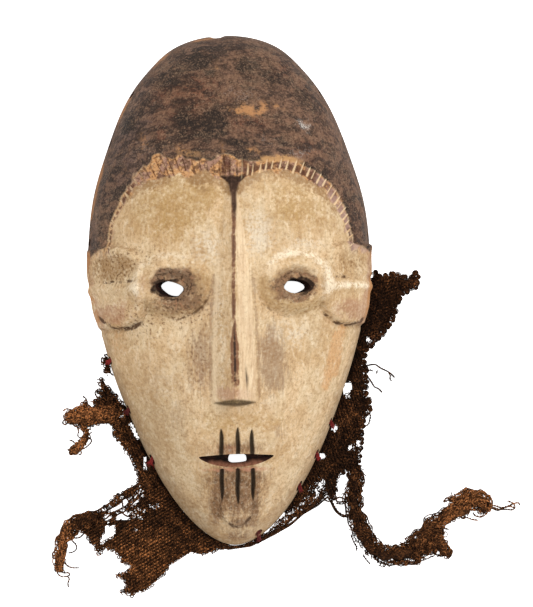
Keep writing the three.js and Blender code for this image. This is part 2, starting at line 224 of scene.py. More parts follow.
def nose_height(x, y):
    down, half = down_nose(y)
    height = 1.5 + 11 * down
    ridge = 1.04 - np.sqrt((x / half) ** 2 + 0.0016)
    under = np.clip((y + 61.4 - 0.013 * x ** 2) / (3.2 - 0.013 * x ** 2), 0, 1) ** 1.2
    shown = smoothstep(62, 56, y)
    return height * soft_corner(ridge, 0.05) * under * shown


# The cap's lower edge, and the foot of the cut band under it, from the left ear round to the right
CAP_EDGE = [(-64.5, 12), (-63.8, 27), (-61.8, 36), (-58.2, 44.3), (-54.4, 50.8), (-51.2, 55.3),
            (-47.5, 60.4), (-42.2, 65.3), (-38.6, 68.4), (-34.9, 69), (-29.9, 67.4), (-24.7, 67.6),
            (-19.6, 65.8), (-13, 65.6), (-8.3, 66.6), (-3, 69.2), (1, 67.8), (4, 65.4), (9, 64.4),
            (16.3, 64.4), (24.7, 65.1), (31, 64.6), (36.2, 63.1), (41.5, 60.6), (50.5, 54.6),
            (54.8, 49.4), (58.4, 43), (61.6, 34), (63.6, 25), (64.5, 12)]
BAND_FOOT = [(-62.6, 12), (-61.8, 27), (-59.6, 36), (-56, 42.6), (-52.9, 48.1), (-47.6, 54.6),
             (-41.4, 56.8), (-35.2, 57.6), (-28.5, 57.3), (-19.8, 58), (-13.1, 59.4), (-7, 56.6),
             (-1.5, 53.4), (1.5, 52.4), (4.7, 53.3), (8.6, 56.2), (16.2, 58.9), (24.5, 59.3),
             (30.8, 58.6), (36, 56.6), (41.2, 54.4), (49.6, 48.6), (53.2, 43.6), (56.8, 37.2), (60, 29),
             (62.4, 12)]


# How far above a line round the brow a place lies
def above_line(line, x, y):
    turns = [math.atan2(across, along - CAP_LOBE_Y) for across, along in line]
    reaches = [math.hypot(across, along - CAP_LOBE_Y) for across, along in line]
    return np.hypot(x, y - CAP_LOBE_Y) - np.interp(np.arctan2(x, y - CAP_LOBE_Y), turns, reaches)


def above_cap_edge(x, y):
    above_ear = y - (EAR_Y + EAR_HALF_HEIGHT - np.minimum(((np.abs(x) - EAR_X) / 12) ** 2 * 5, 12))
    return np.minimum(above_line(CAP_EDGE, x, y), above_ear)


# How far up the band a place lies: 0 at its foot and 1 at the cap's edge
def up_band(x, y):
    foot = above_line(BAND_FOOT, x, y)
    return foot / (foot - above_line(CAP_EDGE, x, y))


# Short knife cuts across the band, each with its place, width and two ends
CUT_COUNT = 68
cut_draw = np.random.default_rng(7)
CUT_PLACES = np.cumsum(cut_draw.uniform(2.5, 4.1, CUT_COUNT)) - 112
CUT_HALVES = cut_draw.uniform(0.22, 0.5, CUT_COUNT)
CUT_STARTS = cut_draw.uniform(-0.1, 0.25, CUT_COUNT)
CUT_ENDS = cut_draw.uniform(0.8, 1.2, CUT_COUNT)


def hairline_cuts(x, y):
    place = np.arctan2(x, np.maximum(y + 30, 1)) * 92
    number = np.clip(np.searchsorted(CUT_PLACES, place), 1, CUT_COUNT - 1)
    number = number - (place - CUT_PLACES[number - 1] < CUT_PLACES[number] - place)
    ends = CUT_ENDS[number] + 0.25 * smoothstep(14, 24, x)
    along = (up_band(x, y) - CUT_STARTS[number]) / (ends - CUT_STARTS[number])
    half = CUT_HALVES[number] * np.clip(1.3 - along, 0, 1)
    across = np.abs(place - CUT_PLACES[number])
    length = smoothstep(-0.05, 0.1, along) * smoothstep(1, 0.8, along)
    return smoothstep(half + 0.22, half - 0.15, across) * length


def eye_out(x, y, across, along):
    return np.hypot((np.abs(x) - EYE_X) / across, (y - EYE_Y) / along)


def eye_height(x, y, wobble):
    out = eye_out(x, y, 20.5, 17.5)
    boss = 3.2 * smoothstep(1.06, 0.66, out)
    inward = smoothstep(4, -10, np.abs(x) - EYE_X) * smoothstep(6, -8, y)
    crease = -0.8 * bell(out - 1.04, 0.07) * inward
    funnel = -5 * smoothstep(1.12, 0.45, eye_out(x, y, 12.5, 8.2) + 0.09 * wobble)
    return boss + crease + funnel


# How far out a place lies on an ear, a rounded plate that is open towards the rim
def ear_out(side, y):
    inward = np.abs(np.minimum(side / EAR_HALF_WIDTH, 0)) ** EAR_CURVE
    return (inward + np.abs((y - EAR_Y) / EAR_HALF_HEIGHT) ** EAR_CURVE) ** (1 / EAR_CURVE)


def ear_height(x, y):
    side = np.abs(x) - EAR_X
    out = ear_out(side, y)
    plate = smoothstep(1.05, 0.93, out)
    dish = -2.1 * hill(side, y - 12.5, 10, 6.5)
    groove = -0.9 * bell(y - 4.4 - 0.03 * side, 1.3) * smoothstep(-11, -5, side)
    ridge = 1.2 * bell(y - 0.4, 2.2)
    lobe = 1.6 * hill(side, y + 9.5, 13, 7)
    undercut = -1.4 * bell(out - 1.06, 0.05) * smoothstep(-4, -14, y)
    return plate * (2.6 + dish + groove + ridge + lobe) + undercut


def mouth_height(x, y):
    pout = 1.1 * hill(x, y + 91, 21, 12)
    corner = -0.7 * (hill(x - 20.5, y + 90.3, 3.2, 2.2) + hill(x + 20.5, y + 90.3, 3.2, 2.2))
    tongue_out = np.hypot(x / 8.6, np.minimum(y + 113, 0) / 11.5)
    tongue = 0.9 * smoothstep(1.05, 0.86, tongue_out) * smoothstep(-100, -108, y)
    below = -0.5 * bell(tongue_out - 1.12, 0.07) * smoothstep(-114, -121, y)
    return pout + corner + tongue + below


UPPER_CUTS = [(-7.3, -86, -72.4), (1.2, -86, -71.7), (8.5, -86, -73.0)]
LOWER_CUTS = [(-7.2, -93.9, -110.8), (1.0, -93.9, -113.0), (9.0, -93.9, -111.2)]


# Depth of the six gouged lines, as a share of their deepest
def cut_depth(x, y):
    deepest = np.zeros_like(x)
    for middle, start, end in UPPER_CUTS + LOWER_CUTS:
        along = (y - start) / (end - start)
        inside = np.clip(along * (1 - along) * 4, 0, 1)
        first = -0.25 if end > start else 0
        taper = np.where(along < 0.5, 1, inside ** 0.6)
        taper = taper * smoothstep(first - 0.04, first, along) * (along < 1)
        half = 1.45 * taper + 1e-6
        lean = middle + 0.12 * np.sin(y * 0.45 + middle)
        deepest = np.maximum(deepest, taper * np.clip(1 - np.abs(x - lean) / half, 0, 1))
    return deepest


CRACK_X, CRACK_Y = 5.9, -47
CRACK_LEAN = 0.06
adze_marks = np.random.default_rng(19).uniform((-80, -140), (80, 140), (330, 2))


# Shallow scoops of the adze, that meet in low ridges
def adze_scoops(x, y, stretch=0.75):
    nearest = np.full_like(x, 1e9)
    for mark_x, mark_y in adze_marks:
        nearest = np.minimum(nearest, (x - mark_x) ** 2 + ((y - mark_y) * stretch) ** 2)
    return np.minimum(nearest, 90) / 60


# A short crack in the nose, which leans a little
def crack_hill(x, y, across, along):
    return hill(x - CRACK_X + CRACK_LEAN * (y - CRACK_Y), y - CRACK_Y, across, along)


def carved_relief(x, y, share, wobble):
    far = above_cap_edge(x, y)
    cuts = hairline_cuts(x, y) * smoothstep(14, 26, y)
    cap = 1.4 * np.minimum(smoothstep(-0.1, 0.95, up_band(x, y)), smoothstep(-1.5, 1, far + 8 * (y > 30)))
    wedge = smoothstep(4.6, 3.2, np.abs(x - 0.8) + (56 - y) * 0.3) * smoothstep(44, 50, y)
    cheeks = -2.4 * hill(np.abs(x) - 28, y + 30, 19, 26)
    temples = 1.6 * hill(x, y - 45, 45, 25)
    tools = adze_scoops(x, y) * (0.16 + 0.62 * smoothstep(0, 4, far))
    lines = -2.0 * cut_depth(x, y) - 0.7 * cuts
    face = nose_height(x, y) + cheeks + temples + eye_height(x, y, wobble)
    face = face + mouth_height(x, y) + cap + np.minimum(wedge, 1.4 - cap) + lines
    crack = -1.2 * crack_hill(x, y, 0.5, 4.6)
    ears = smoothstep(1.02, 0.96, share) * ear_height(x, y)
    return smoothstep(1, 0.9, share) * (face + crack) + ears + tools * smoothstep(1, 0.97, share)


# Selects these pieces alone, the first of them active
def select_only(*pieces):
    bpy.ops.object.select_all(action="DESELECT")
    for piece in pieces:
        piece.select_set(True)
    if pieces:
        bpy.context.view_layer.objects.active = pieces[0]


def flat_grid(name, columns, rows):
    select_only()
    bpy.ops.mesh.primitive_grid_add(x_subdivisions=columns, y_subdivisions=rows, size=2)
    made = bpy.context.object
    made.name = name
    made.data.name = name
    return made


def vertex_places(piece):
    places = np.empty(len(piece.data.vertices) * 3)
    piece.data.vertices.foreach_get("co", places)
    return places.reshape(-1, 3)


def move_vertices(piece, places):
    piece.data.vertices.foreach_set("co", np.asarray(places, float).ravel())
    piece.data.update()


# Divides the faces where the carving is fine
def divide_where(piece, wanted):
    select_only(piece)
    centres = np.empty(len(piece.data.polygons) * 3)
    piece.data.polygons.foreach_get("center", centres)
    centres = centres.reshape(-1, 3)
    x, y, _ = over_egg(centres[:, 0], centres[:, 1])
    chosen = wanted(x, y)
    bpy.ops.object.mode_set(mode="EDIT")
    bpy.ops.mesh.select_mode(type="FACE")
    bpy.ops.mesh.select_all(action="DESELECT")
    shape = bmesh.from_edit_mesh(piece.data)
    for face, take in zip(shape.faces, chosen):
        if take:
            face.select_set(True)
    bmesh.update_edit_mesh(piece.data)
    bpy.ops.mesh.subdivide(number_cuts=1)
    bpy.ops.object.mode_set(mode="OBJECT")


def near_band(x, y):
    return (above_line(CAP_EDGE, x, y) < 1.5) & (above_line(BAND_FOOT, x, y) > -1.5)


def carved_zone(x, y):
    nose = (np.abs(x) < down_nose(y)[1] + 3.4) & (y < 66) & (y > -68)
    eyes = eye_out(x, y, 23, 20) < 1
    ears = (np.abs(x) > 42) & (y > -24) & (y < 27)
    mouth = (np.abs(x) < 26) & (y < -68) & (y > -98)
    chin = (np.abs(x) < 15) & (y < -97) & (y > -128)
    return nose | eyes | ears | mouth | chin | (near_band(x, y) & (y > 16))


def finest_zone(x, y):
    funnel = eye_out(x, y, 16, 12) < 1
    nose_end = (np.abs(x) < 13) & (y < -55) & (y > -66)
    ridge = (np.abs(x) < 2.2) & (y < 62) & (y > -60)
    lines = np.zeros_like(x, bool)
    for middle, start, end in UPPER_CUTS + LOWER_CUTS:
        low, high = min(start, end), max(start, end)
        lines |= (np.abs(x - middle) < 2.4) & (y > low - 4) & (y < high + 1.5)
    crack = (np.abs(x - CRACK_X) < 2) & (np.abs(y - CRACK_Y) < 10)
    return funnel | nose_end | ridge | lines | (near_band(x, y) & (y > 22)) | crack


mask = flat_grid("mask_wood", 116, 208)
divide_where(mask, carved_zone)
divide_where(mask, finest_zone)


# The outermost ring of a grid is the flat rim's edge, just inside a worn corner
def lay_on_egg(piece, wall=0.0):
    flat = vertex_places(piece)
    edge = np.max(np.abs(flat[:, :2]), axis=1) > 0.9999
    x, y, reach = over_egg(flat[:, 0], flat[:, 1], wall)
    return x, y, reach, edge, np.minimum(outward_share(x, y, wall), 1)


def lay_down_edge(places, edge, factor):
    places[edge, 0] *= factor[edge]
    places[edge, 1] = WIDEST_Y + (places[edge, 1] - WIDEST_Y) * factor[edge]
    places[edge, 2] = 0


def shape_outside(piece):
    x, y, reach, edge, share = lay_on_egg(piece)
    flat = np.stack([x, y, 0 * x], axis=1)
    wobble = grain(flat, 6.0) + 0.5 * grain(flat, 2.4, 9)
    height = dome_height(x, y)
    normal = dome_normal(x, y)
    relief = carved_relief(x, y, share, wobble)
    places = np.stack([x, y, height], axis=1) + normal * relief[:, None]
    sway = 0.5 * grain(flat, 38.0, 4) * smoothstep(0.7, 1, share)
    places[:, :2] += normal[:, :2] * sway[:, None]
    chip = 1.7 * hill(x + 4, y - 135, 2.6, 9) * smoothstep(9, 3, height)
    places[:, 1] -= chip
    lay_down_edge(places, edge, 1 - WORN_CORNER / reach)
    second = ~edge & (places[:, 2] < 1)
    places[second, 2] = np.maximum(places[second, 2], 0.8)
    move_vertices(piece, in_metres(places))


def shape_hollow(piece):
    x, y, reach, edge, share = lay_on_egg(piece, RIM_WALL)
    height = dome_height(x, y, RIM_WALL, FACE_WALL)
    normal = dome_normal(x, y, RIM_WALL)
    scoops = 0.9 * (adze_scoops(x * 0.85 + 7, y * 0.85 - 11, 0.6) - 0.5) * smoothstep(1, 0.9, share)
    places = np.stack([x, y, height], axis=1) - normal * scoops[:, None]
    lay_down_edge(places, edge, 1 + WORN_CORNER / reach)
    move_vertices(piece, in_metres(places))


def turn_inside_out(piece):
    select_only(piece)
    bpy.ops.object.mode_set(mode="EDIT")
    bpy.ops.mesh.select_all(action="SELECT")
    bpy.ops.mesh.flip_normals()
    bpy.ops.object.mode_set(mode="OBJECT")


shape_outside(mask)
hollow = flat_grid("mask_hollow", 58, 104)
shape_hollow(hollow)
turn_inside_out(hollow)

select_only(mask, hollow)
bpy.ops.object.join()
bpy.ops.object.mode_set(mode="EDIT")
bpy.ops.mesh.select_mode(type="EDGE")
bpy.ops.mesh.select_all(action="DESELECT")
bpy.ops.mesh.select_non_manifold()
bpy.ops.mesh.bridge_edge_loops()
bpy.ops.mesh.select_all(action="SELECT")
bpy.ops.mesh.quads_convert_to_tris()
bpy.ops.object.mode_set(mode="OBJECT")


# Cutters for the holes, made from a circle that is shaped and drawn out
def add_cutter(name, rings):
    select_only()
    bpy.ops.mesh.primitive_circle_add(vertices=len(rings[0]), radius=1, fill_type="NGON")
    cutter = bpy.context.object
    cutter.name = name
    bpy.ops.object.mode_set(mode="EDIT")
    bpy.ops.mesh.select_mode(type="FACE")
    for _ in rings[1:]:
        bpy.ops.mesh.extrude_region_move(TRANSFORM_OT_translate={"value": (0, 0, 1)})
    bpy.ops.object.mode_set(mode="OBJECT")
    places = vertex_places(cutter)
    level = np.round(places[:, 2]).astype(int)
    turn = np.arctan2(places[:, 1], places[:, 0])
    side = np.round(turn / (2 * math.pi) * len(rings[0])).astype(int) % len(rings[0])
    table = np.array(rings)
    move_vertices(cutter, in_metres(table[level, side]))
    bpy.ops.object.mode_set(mode="EDIT")
    bpy.ops.mesh.select_all(action="SELECT")
    bpy.ops.mesh.normals_make_consistent(inside=False)
    bpy.ops.mesh.quads_convert_to_tris()
    bpy.ops.object.mode_set(mode="OBJECT")
    return cutter


def turns_of(sides):
    return np.arange(sides) / sides * 2 * math.pi


def ring(x, y, z, across, along, rough, seed=0, square=1.0, tilt=0.0):
    turns = turns_of(28)
    uneven = 1 + rough * (np.sin(3 * turns + seed) + 0.6 * np.sin(5 * turns + 2 * seed))
    out = across * uneven * np.sign(np.cos(turns)) * np.abs(np.cos(turns)) ** square
    up = along * uneven * np.sign(np.sin(turns)) * np.abs(np.sin(turns)) ** square
    return [(x + a, y + b + tilt * a, z) for a, b in zip(out, up)]


# A lens, blunter and deeper below than above
def lens_ring(x, y, z, length, height, sag=0.0):
    turns = turns_of(40)
    sides_up = np.abs(np.sin(turns))
    rise = np.where(np.sin(turns) > 0, 0.7 * sides_up ** 0.55, -1.3 * np.minimum(1.17 * sides_up ** 1.1, 1))
    return [
        (x + length / 2 * math.cos(t), y + height / 2 * r + sag * math.cos(t) ** 2, z)
        for t, r in zip(turns, rise)
    ]


def surface_z(x, y):
    place = np.array([float(x)]), np.array([float(y)])
    share = outward_share(*place)
    lift = carved_relief(*place, share, np.zeros(1)) * dome_normal(*place)[:, 2]
    return float(dome_height(*place)[0] + lift[0])


# The holes run in towards the nose, so their outer walls show. The left one is the larger.
# For each: the middle and half sizes of its mouth, those of its inner end, and its tilt
EYE_HOLES = {
    -1: ((-33.0, -0.3, 7.4, 4.0), (-29.0, 0.5, 6.6, 3.6), -0.12),
    1: ((33.5, -0.1, 7.2, 3.6), (30.2, -0.5, 6.2, 3.0), 0.0),
}


def eye_cutter(side):
    top = float(dome_height(np.array([EYE_X]), np.array([EYE_Y]))[0]) + 3
    outer, inner, tilt = EYE_HOLES[side]
    return add_cutter(f"eye_cutter_{side}", [
        ring(2 * inner[0] - outer[0], 2 * inner[1] - outer[1], top - 28, *inner[2:], rough=0.03, tilt=tilt),
        ring(*inner[:2], top - 16, *inner[2:], rough=0.05, seed=side, tilt=tilt),
        ring(*outer[:2], top - 5, *outer[2:], rough=0.05, seed=side + 1, tilt=tilt),
        ring(*outer[:2], top + 4, outer[2] + 1, outer[3] + 0.8, rough=0.05, seed=side + 1, tilt=tilt),
    ])


def mouth_cutter():
    top = surface_z(0, -88)
    return add_cutter("mouth_cutter", [
        lens_ring(0.6, -87.0, top - 6.8, 34, 2.2),
        lens_ring(0.6, -87.1, top - 5.6, 37, 2.6),
        lens_ring(0.7, -88.5, top - 1.2, 42.8, 6.7, sag=-0.5),
        lens_ring(0.7, -89.3, top + 3, 46.4, 9.8, sag=-0.5),
    ])


def mouth_hole_cutter():
    top = surface_z(0, -88)
    return add_cutter("mouth_hole_cutter", [
        ring(1.0, -88.4, top - 20, 4.8, 2.3, rough=0.04, seed=2, square=0.6),
        ring(1.0, -88.2, top - 2.4, 4.7, 2.2, rough=0.04, seed=2, square=0.6),
    ])


# Places on the rim. Angles turn from the chin towards the right of the face.
def rim_point(angle, offset, z):
    x, y = math.sin(angle), -math.cos(angle)
    reach = 1 / float(outward_share(np.array([x]), np.array([WIDEST_Y + y]))[0]) + offset
    return np.array([reach * x, WIDEST_Y + reach * y, z])


def rim_angle(side, y):
    up = y - WIDEST_Y
    if up >= 0:
        half = HALF_WIDTH * (1 - (up / CROWN_REACH) ** CROWN_CURVE) ** (1 / CROWN_CURVE)
    else:
        half = HALF_WIDTH * (1 - (-up / CHIN_REACH) ** CHIN_CURVE) ** CHIN_ACROSS
    return side * math.atan2(half, -up)


HOLE_Z = 6.5
STITCH_ANGLES = {
    "left_1": rim_angle(-1, -36.5),
    "left_2": rim_angle(-1, -63),
    "left_3": rim_angle(-1, -90),
    "right_1": rim_angle(1, -72),
    "right_2": rim_angle(1, -89),
    "right_3": rim_angle(1, -106),
    "chin": math.radians(5),
}
BARE_ANGLES = [rim_angle(side, y) for y in (105, 80, 26.5) for side in (-1, 1)]


def rim_hole_cutter(index, angle):
    ends = []
    for offset in (-13, 6):
        middle = rim_point(angle, offset, HOLE_Z)
        width = 2.1 + 0.1 * (index % 3)
        across = np.array([math.cos(angle), math.sin(angle), 0])
        ends.append([tuple(middle + across * width * math.cos(t) + np.array([0, 0, width * math.sin(t)]))
                     for t in turns_of(12)])
    return add_cutter(f"rim_cutter_{index}", ends)


cutters = [eye_cutter(-1), eye_cutter(1), mouth_cutter(), mouth_hole_cutter()]
cutters += [rim_hole_cutter(i, a) for i, a in enumerate(BARE_ANGLES + list(STITCH_ANGLES.values()))]

cut_wood = bpy.data.materials.new("cut_wood")
carved_wood = bpy.data.materials.new("carved_wood")
mask.data.materials.append(carved_wood)
for cutter in cutters:
    cutter.data.materials.append(cut_wood)
    select_only(mask)
    step = mask.modifiers.new("hole", "BOOLEAN")
    step.operation = "DIFFERENCE"
    step.object = cutter
    step.material_mode = "TRANSFER"
    bpy.ops.object.modifier_apply(modifier=step.name)
    bpy.data.objects.remove(cutter)

bpy.ops.object.shade_smooth_by_angle(angle=math.radians(38))


# Where paint, wear, dirt and painted light and shade lie, as one value from 0 to 1 at every vertex
def add_layer(piece, name, values):
    made = piece.data.attributes.new(name, "FLOAT", "POINT")
    made.data.foreach_set("value", np.clip(values, 0, 1).astype(np.float32))


def segment_distance(x, y, start, end):
    start, end = np.array(start), np.array(end)
    along = end - start
    part = np.clip(((x - start[0]) * along[0] + (y - start[1]) * along[1]) / (along @ along), 0, 1)
    return np.hypot(x - start[0] - part * along[0], y - start[1] - part * along[1])


# Soft stains on the face and the cap, painted shade low on the face's left, and the lips' pinkish tint with
# a painted highlight. For each spot: its share, its middle and its reach both ways.
STAIN_AND_LIGHT_SPOTS = {
    "tan": [(0.95, -30, 42, 22, 22), (0.75, 34, 42, 24, 17), (0.5, -9, 50, 9, 10), (0.5, -12, -70, 16, 8),
            (0.5, 14, -70, 20, 7)],
    "stain": [(0.5, -17, 58, 12, 5), (0.6, -14, 51, 4, 3), (0.35, -26, 40, 18, 3), (0.5, 24, 60, 20, 3),
              (0.3, 20, 24, 9, 2)],
    "streak": [(1.0, -17.5, -36, 6.5, 19), (1.05, 19, -34, 7.5, 20), (0.5, 24, -47, 7, 10),
               (0.4, -30, -70, 10, 22), (0.3, -44, -45, 8, 16), (0.7, 23.5, -75, 3.5, 5),
               (0.3, -13, 20, 4, 20), (0.25, 52, -60, 6, 18)],
    "mouth_dirt": [(1.0, 1, -97, 12, 5), (1.0, 0, -103, 15, 10), (0.6, 0, -113, 11, 9),
                   (0.85, 0, -83, 16, 4), (0.9, 3, -123, 6, 2.6), (0.7, 1, -130, 7, 3),
                   (0.85, -10, -115, 3, 8), (0.6, 10.5, -115, 2.5, 9)],
    "pale": [(0.8, 13, 28, 9, 15), (0.55, 38, 22, 14, 5), (0.7, -14, 22, 9, 10), (0.6, 28, -25, 18, 9),
             (0.35, -36, -52, 16, 24), (0.5, -9, -12, 5, 22), (0.4, 16, -60, 6, 5),
             (0.4, -52, -18, 6, 8)],
    "pits": [(0.9, -27, -13, 17, 6), (0.7, -48, -16, 10, 9), (0.5, -19, -36, 7, 17),
             (0.5, -46, 18, 12, 4), (0.8, -60, 12, 11, 8), (0.5, 33, -10, 14, 5), (0.5, 0, -106, 17, 12),
             (0.4, -62, 12, 10, 7), (0.4, 62, 12, 10, 7), (-0.2, 20, 35, 24, 24)],
    "black": [(0.9, -7, 85, 6, 8), (1.0, -13, 120, 8, 5), (0.8, 8, 115, 4, 4), (0.7, -52, 86, 6, 6),
              (0.6, 6, 74, 10, 3), (0.5, -22, 86, 10, 9), (0.5, -30, 108, 9, 7), (0.5, 24, 108, 8, 6)],
    "red": [(0.8, -22, 98, 16, 12), (0.6, 40, 70, 8, 5), (0.5, -36, 78, 5, 6), (0.4, 10, 84, 12, 6),
            (0.4, 28, 112, 8, 8)],
    "lilac": [(1, -50, 78, 16, 30), (0.35, 52, 62, 10, 26)],
    "lip_tint_and_highlight": [(1, 0, -94.2, 20, 1.3), (0.35, 0, -83, 19, 2.4)],
    "shade": [(1, -42, -80, 16, 34), (0.6, -20, -115, 16, 18)],
}
EVERYWHERE = {"pits": 0.2, "black": 0.25, "red": 0.25}
BAND_SPOTS = [(1.4, -2.6, 62.5, 2.4, 4.5), (0.7, 7, 64, 6, 2)]
ROSE_SPOTS = [(0.9, -5, -84, 7, 3), (0.7, -5, -53, 5, 4), (0.5, 5, -55, 4, 3), (0.5, 0, -108, 11, 13),
              (0.45, -48, 2, 6, 10), (0.4, -16, -44, 7, 10)]
ORANGE_SPOTS = [(0.4, 12, -106, 6, 11), (0.3, 14, -72, 10, 8), (0.5, -59, -24, 6, 22),
                (0.3, -30, 10, 15, 4), (0.45, 22, -8, 4, 6)]
CHIPS = [(0.55, 9, 70, 9, 2.5), (0.5, -25, 72, 9, 3), (0.45, 58, 40, 3, 12)]
DUST_SPOTS = [(0.36, 36, 69, 10, 4), (0.35, 19, 75, 5, 4), (0.25, 6, 100, 16, 8)]


def spotted(x, y, spots):
    return sum(
        share * hill(x - at_x, y - at_y, across, along) for share, at_x, at_y, across, along in spots)


def paint_mask():
    places = in_millimetres(vertex_places(mask))
    x, y, z = places.T
    inner = outward_share(x, y, RIM_WALL)
    hollow_side = (inner < 1.02) & (z < dome_height(x, y, RIM_WALL, FACE_WALL) + 1.2)
    outside = (~hollow_side & (z > 0.3)).astype(float)
    share = outward_share(x, y)
    side_x = np.abs(x)
    side = side_x - EAR_X
    mottle = grain(places, 14.0)
    fine = grain(places, 4.0, 5)

    def put(name, values):
        add_layer(mask, name, outside * np.clip(values, 0, 1))

    # The cap's edge, the cut band under it and the dark wedge on the brow
    far = above_cap_edge(x, y)
    up = up_band(x, y)
    foot = above_line(BAND_FOOT, x, y)
    over_face = smoothstep(15, 20, y)
    left_cuts = smoothstep(-1, -6, x) * smoothstep(-56, -50, x)
    right_cuts = smoothstep(2, 10, x)
    on_cap = smoothstep(-0.5, 0.6, far + (0.8 + 1.6 * left_cuts) * fine)
    put("cap", on_cap * np.clip(over_face + smoothstep(1.0, 0.94, share), 0, 1))
    in_band = smoothstep(-1.2, 0.9, foot + 3 * fine) * (1 - on_cap) * over_face
    put("band", in_band * (0.55 + 0.45 * smoothstep(60, 48, np.abs(x))))
    dirty = 1.15 * smoothstep(-10, -0.5, foot) * (1 - on_cap) * over_face
    put("brow_dirt", dirty * (1.0 + 1.3 * mottle) * (1 - 0.15 * right_cuts) * smoothstep(60, 50, side_x))
    between = smoothstep(0.0, 0.25, up + 0.3 * fine) * smoothstep(0.95, 0.65, up + 0.3 * fine)
    how_dark = 0.85 * right_cuts + 0.7 * smoothstep(-46, -54, x) + 0.25 * left_cuts
    put("band_dark", between * over_face * how_dark + spotted(x, y, BAND_SPOTS))
    put("bevel", in_band * smoothstep(40, 50, x) * (0.75 + fine))
    cuts = hairline_cuts(x, y) * over_face
    put("tick", cuts * (0.95 * right_cuts + 0.85 * smoothstep(-42, -52, x)))
    put("tick_shade", cuts * left_cuts)
    right_edge = 1.1 * hill(x - 25, far - 0.9, 12, 2.2) * (y > 50)
    put("tan_edge", right_edge + 0.45 * hill(x + 22, far - 3, 12, 2.5))
    half = np.interp(y, [36, 42, 48.7, 53.4, 55, 57], [0.5, 1.0, 1.5, 2.7, 4.2, 7])
    put("wedge", smoothstep(0.8, -0.5, np.abs(x - 1.2 + 0.5 * fine) - half) * smoothstep(33, 40, y)
        * smoothstep(58.5, 56, y + 2 * fine))

    # The nose
    half = down_nose(y)[1]
    ridge_x = x - 0.9 * smoothstep(-10, 40, y) + 0.1
    wide = 0.6 + 1.9 * smoothstep(-18, -34, y)
    stripe = smoothstep(1.3, 0, np.abs(ridge_x + 0.4 * fine) - wide * 0.6)
    put("stripe", stripe * smoothstep(-52, -49, y + fine) * smoothstep(50, 40, y) * (1.0 + 0.4 * mottle))
    put("stripe_dark", smoothstep(1.0, 0.2, np.abs(ridge_x)) * smoothstep(-51, -47, y)
        * (0.45 + 0.55 * smoothstep(-20, -30, y) - 0.45 * smoothstep(36, 46, y)))
    # Painted highlight on the right side of the nose, which faces the light
    lit_facet = smoothstep(0.2, 1.2, x - 1.4) * smoothstep(1.02, 0.9, x / half) * smoothstep(58, 46, y)
    put("nose_right_highlight", lit_facet * smoothstep(-60, -58, y))
    put("nose_edge", bell(x + half - 1.0, 1.3) * smoothstep(30, 5, y) * smoothstep(-60, -57, y))
    # Painted shade, broken into patches, in the corner along each side of the nose's foot
    put("nose_side_shade", bell(side_x - half - 1.1, 1.1) * smoothstep(20, 0, y) * smoothstep(-62, -56, y))
    # Painted shade on the underside of the nose
    lens = (1 - (x / 10.8) ** 2) * 1.7
    under = smoothstep(-0.7, 0.7, lens - np.abs(y + 59.5 + 0.2 * fine)) * (side_x < 10.8)
    put("nose_underside_shade", under)
    put("crack", crack_hill(x, y, 0.55, 5))

    # The eyes
    at_left = x < 0
    left_around = np.hypot((x + 30) / 12, (y - 2) / 8.2)
    around = np.where(at_left, left_around, np.hypot((x - 32.3) / 12.4, (y + 0.2) / 8.1))
    smear = np.where(at_left, hill(x + 24, y + 5, 11, 8.5) + 0.5 * hill(x + 36, y + 8, 8, 5), 0)
    ring_soot = smoothstep(1.25, 0.8, around + 0.25 * fine) * np.where(at_left, 1, 0.85)
    put("eye_soot", np.maximum(ring_soot, 0.95 * smear))
    # Painted shadow on the outer walls round the eye holes, and in a short line under the left one
    left_hole = np.hypot((x + 33) / 7.6, (y - 0.1) / 4.5)
    hole = np.where(at_left, left_hole, np.hypot((x - 33.5) / 7.4, y / 3.9))
    outer_wall = smoothstep(-4, 2, 0.8 * (side_x - 33) + 0.7 * y)
    hole_wall_shadow = smoothstep(1.35, 1.05, hole + 0.3 * fine) * outer_wall
    put("eye_hole_shadow", hole_wall_shadow + 0.7 * hill(x + 31, y + 5.6, 7, 1))
    # Painted shade, olive-tinted, on the lower side of the eye bosses
    ring_out = eye_out(x, y, 20.5, 17.5)
    low = smoothstep(5, -6, y + 0.4 * (side_x - EYE_X)) + 0.6 * at_left * smoothstep(-26, -18, x)
    put("olive_boss_shade", 0.9 * smoothstep(1.2, 0.8, ring_out) * low * smoothstep(0.4, 0.6, ring_out))
    # Painted shade in the crease at the lower inner edge of each eye boss
    crease = bell(ring_out - 1.04, 0.04) * smoothstep(2, -8, y) * smoothstep(2, -6, side_x - EYE_X)
    put("crease", crease * (0.5 + 0.5 * at_left))
    # Painted highlights on the upper outer arcs of the eye bosses, on the ridge across each ear and down
    # the left side of the nose
    lightness_and_highlight = bell(ring_out - 0.86, 0.15) * smoothstep(-6, 8, y + 0.5 * (side_x - EYE_X))
    ear_ridge_highlight = bell(y - 0.2 - 0.02 * side, 2.2) * smoothstep(-22, -12, side)
    ear_ridge_highlight = ear_ridge_highlight * smoothstep(1.0, 0.97, share) * np.where(at_left, 0.35, 0.75)
    lightness_and_highlight = lightness_and_highlight * np.where(at_left, 0.5, 0.75)
    put("lightness_and_highlight", lightness_and_highlight + ear_ridge_highlight + 0.45 * hill(x + 6.5, y + 30, 3.2, 40))

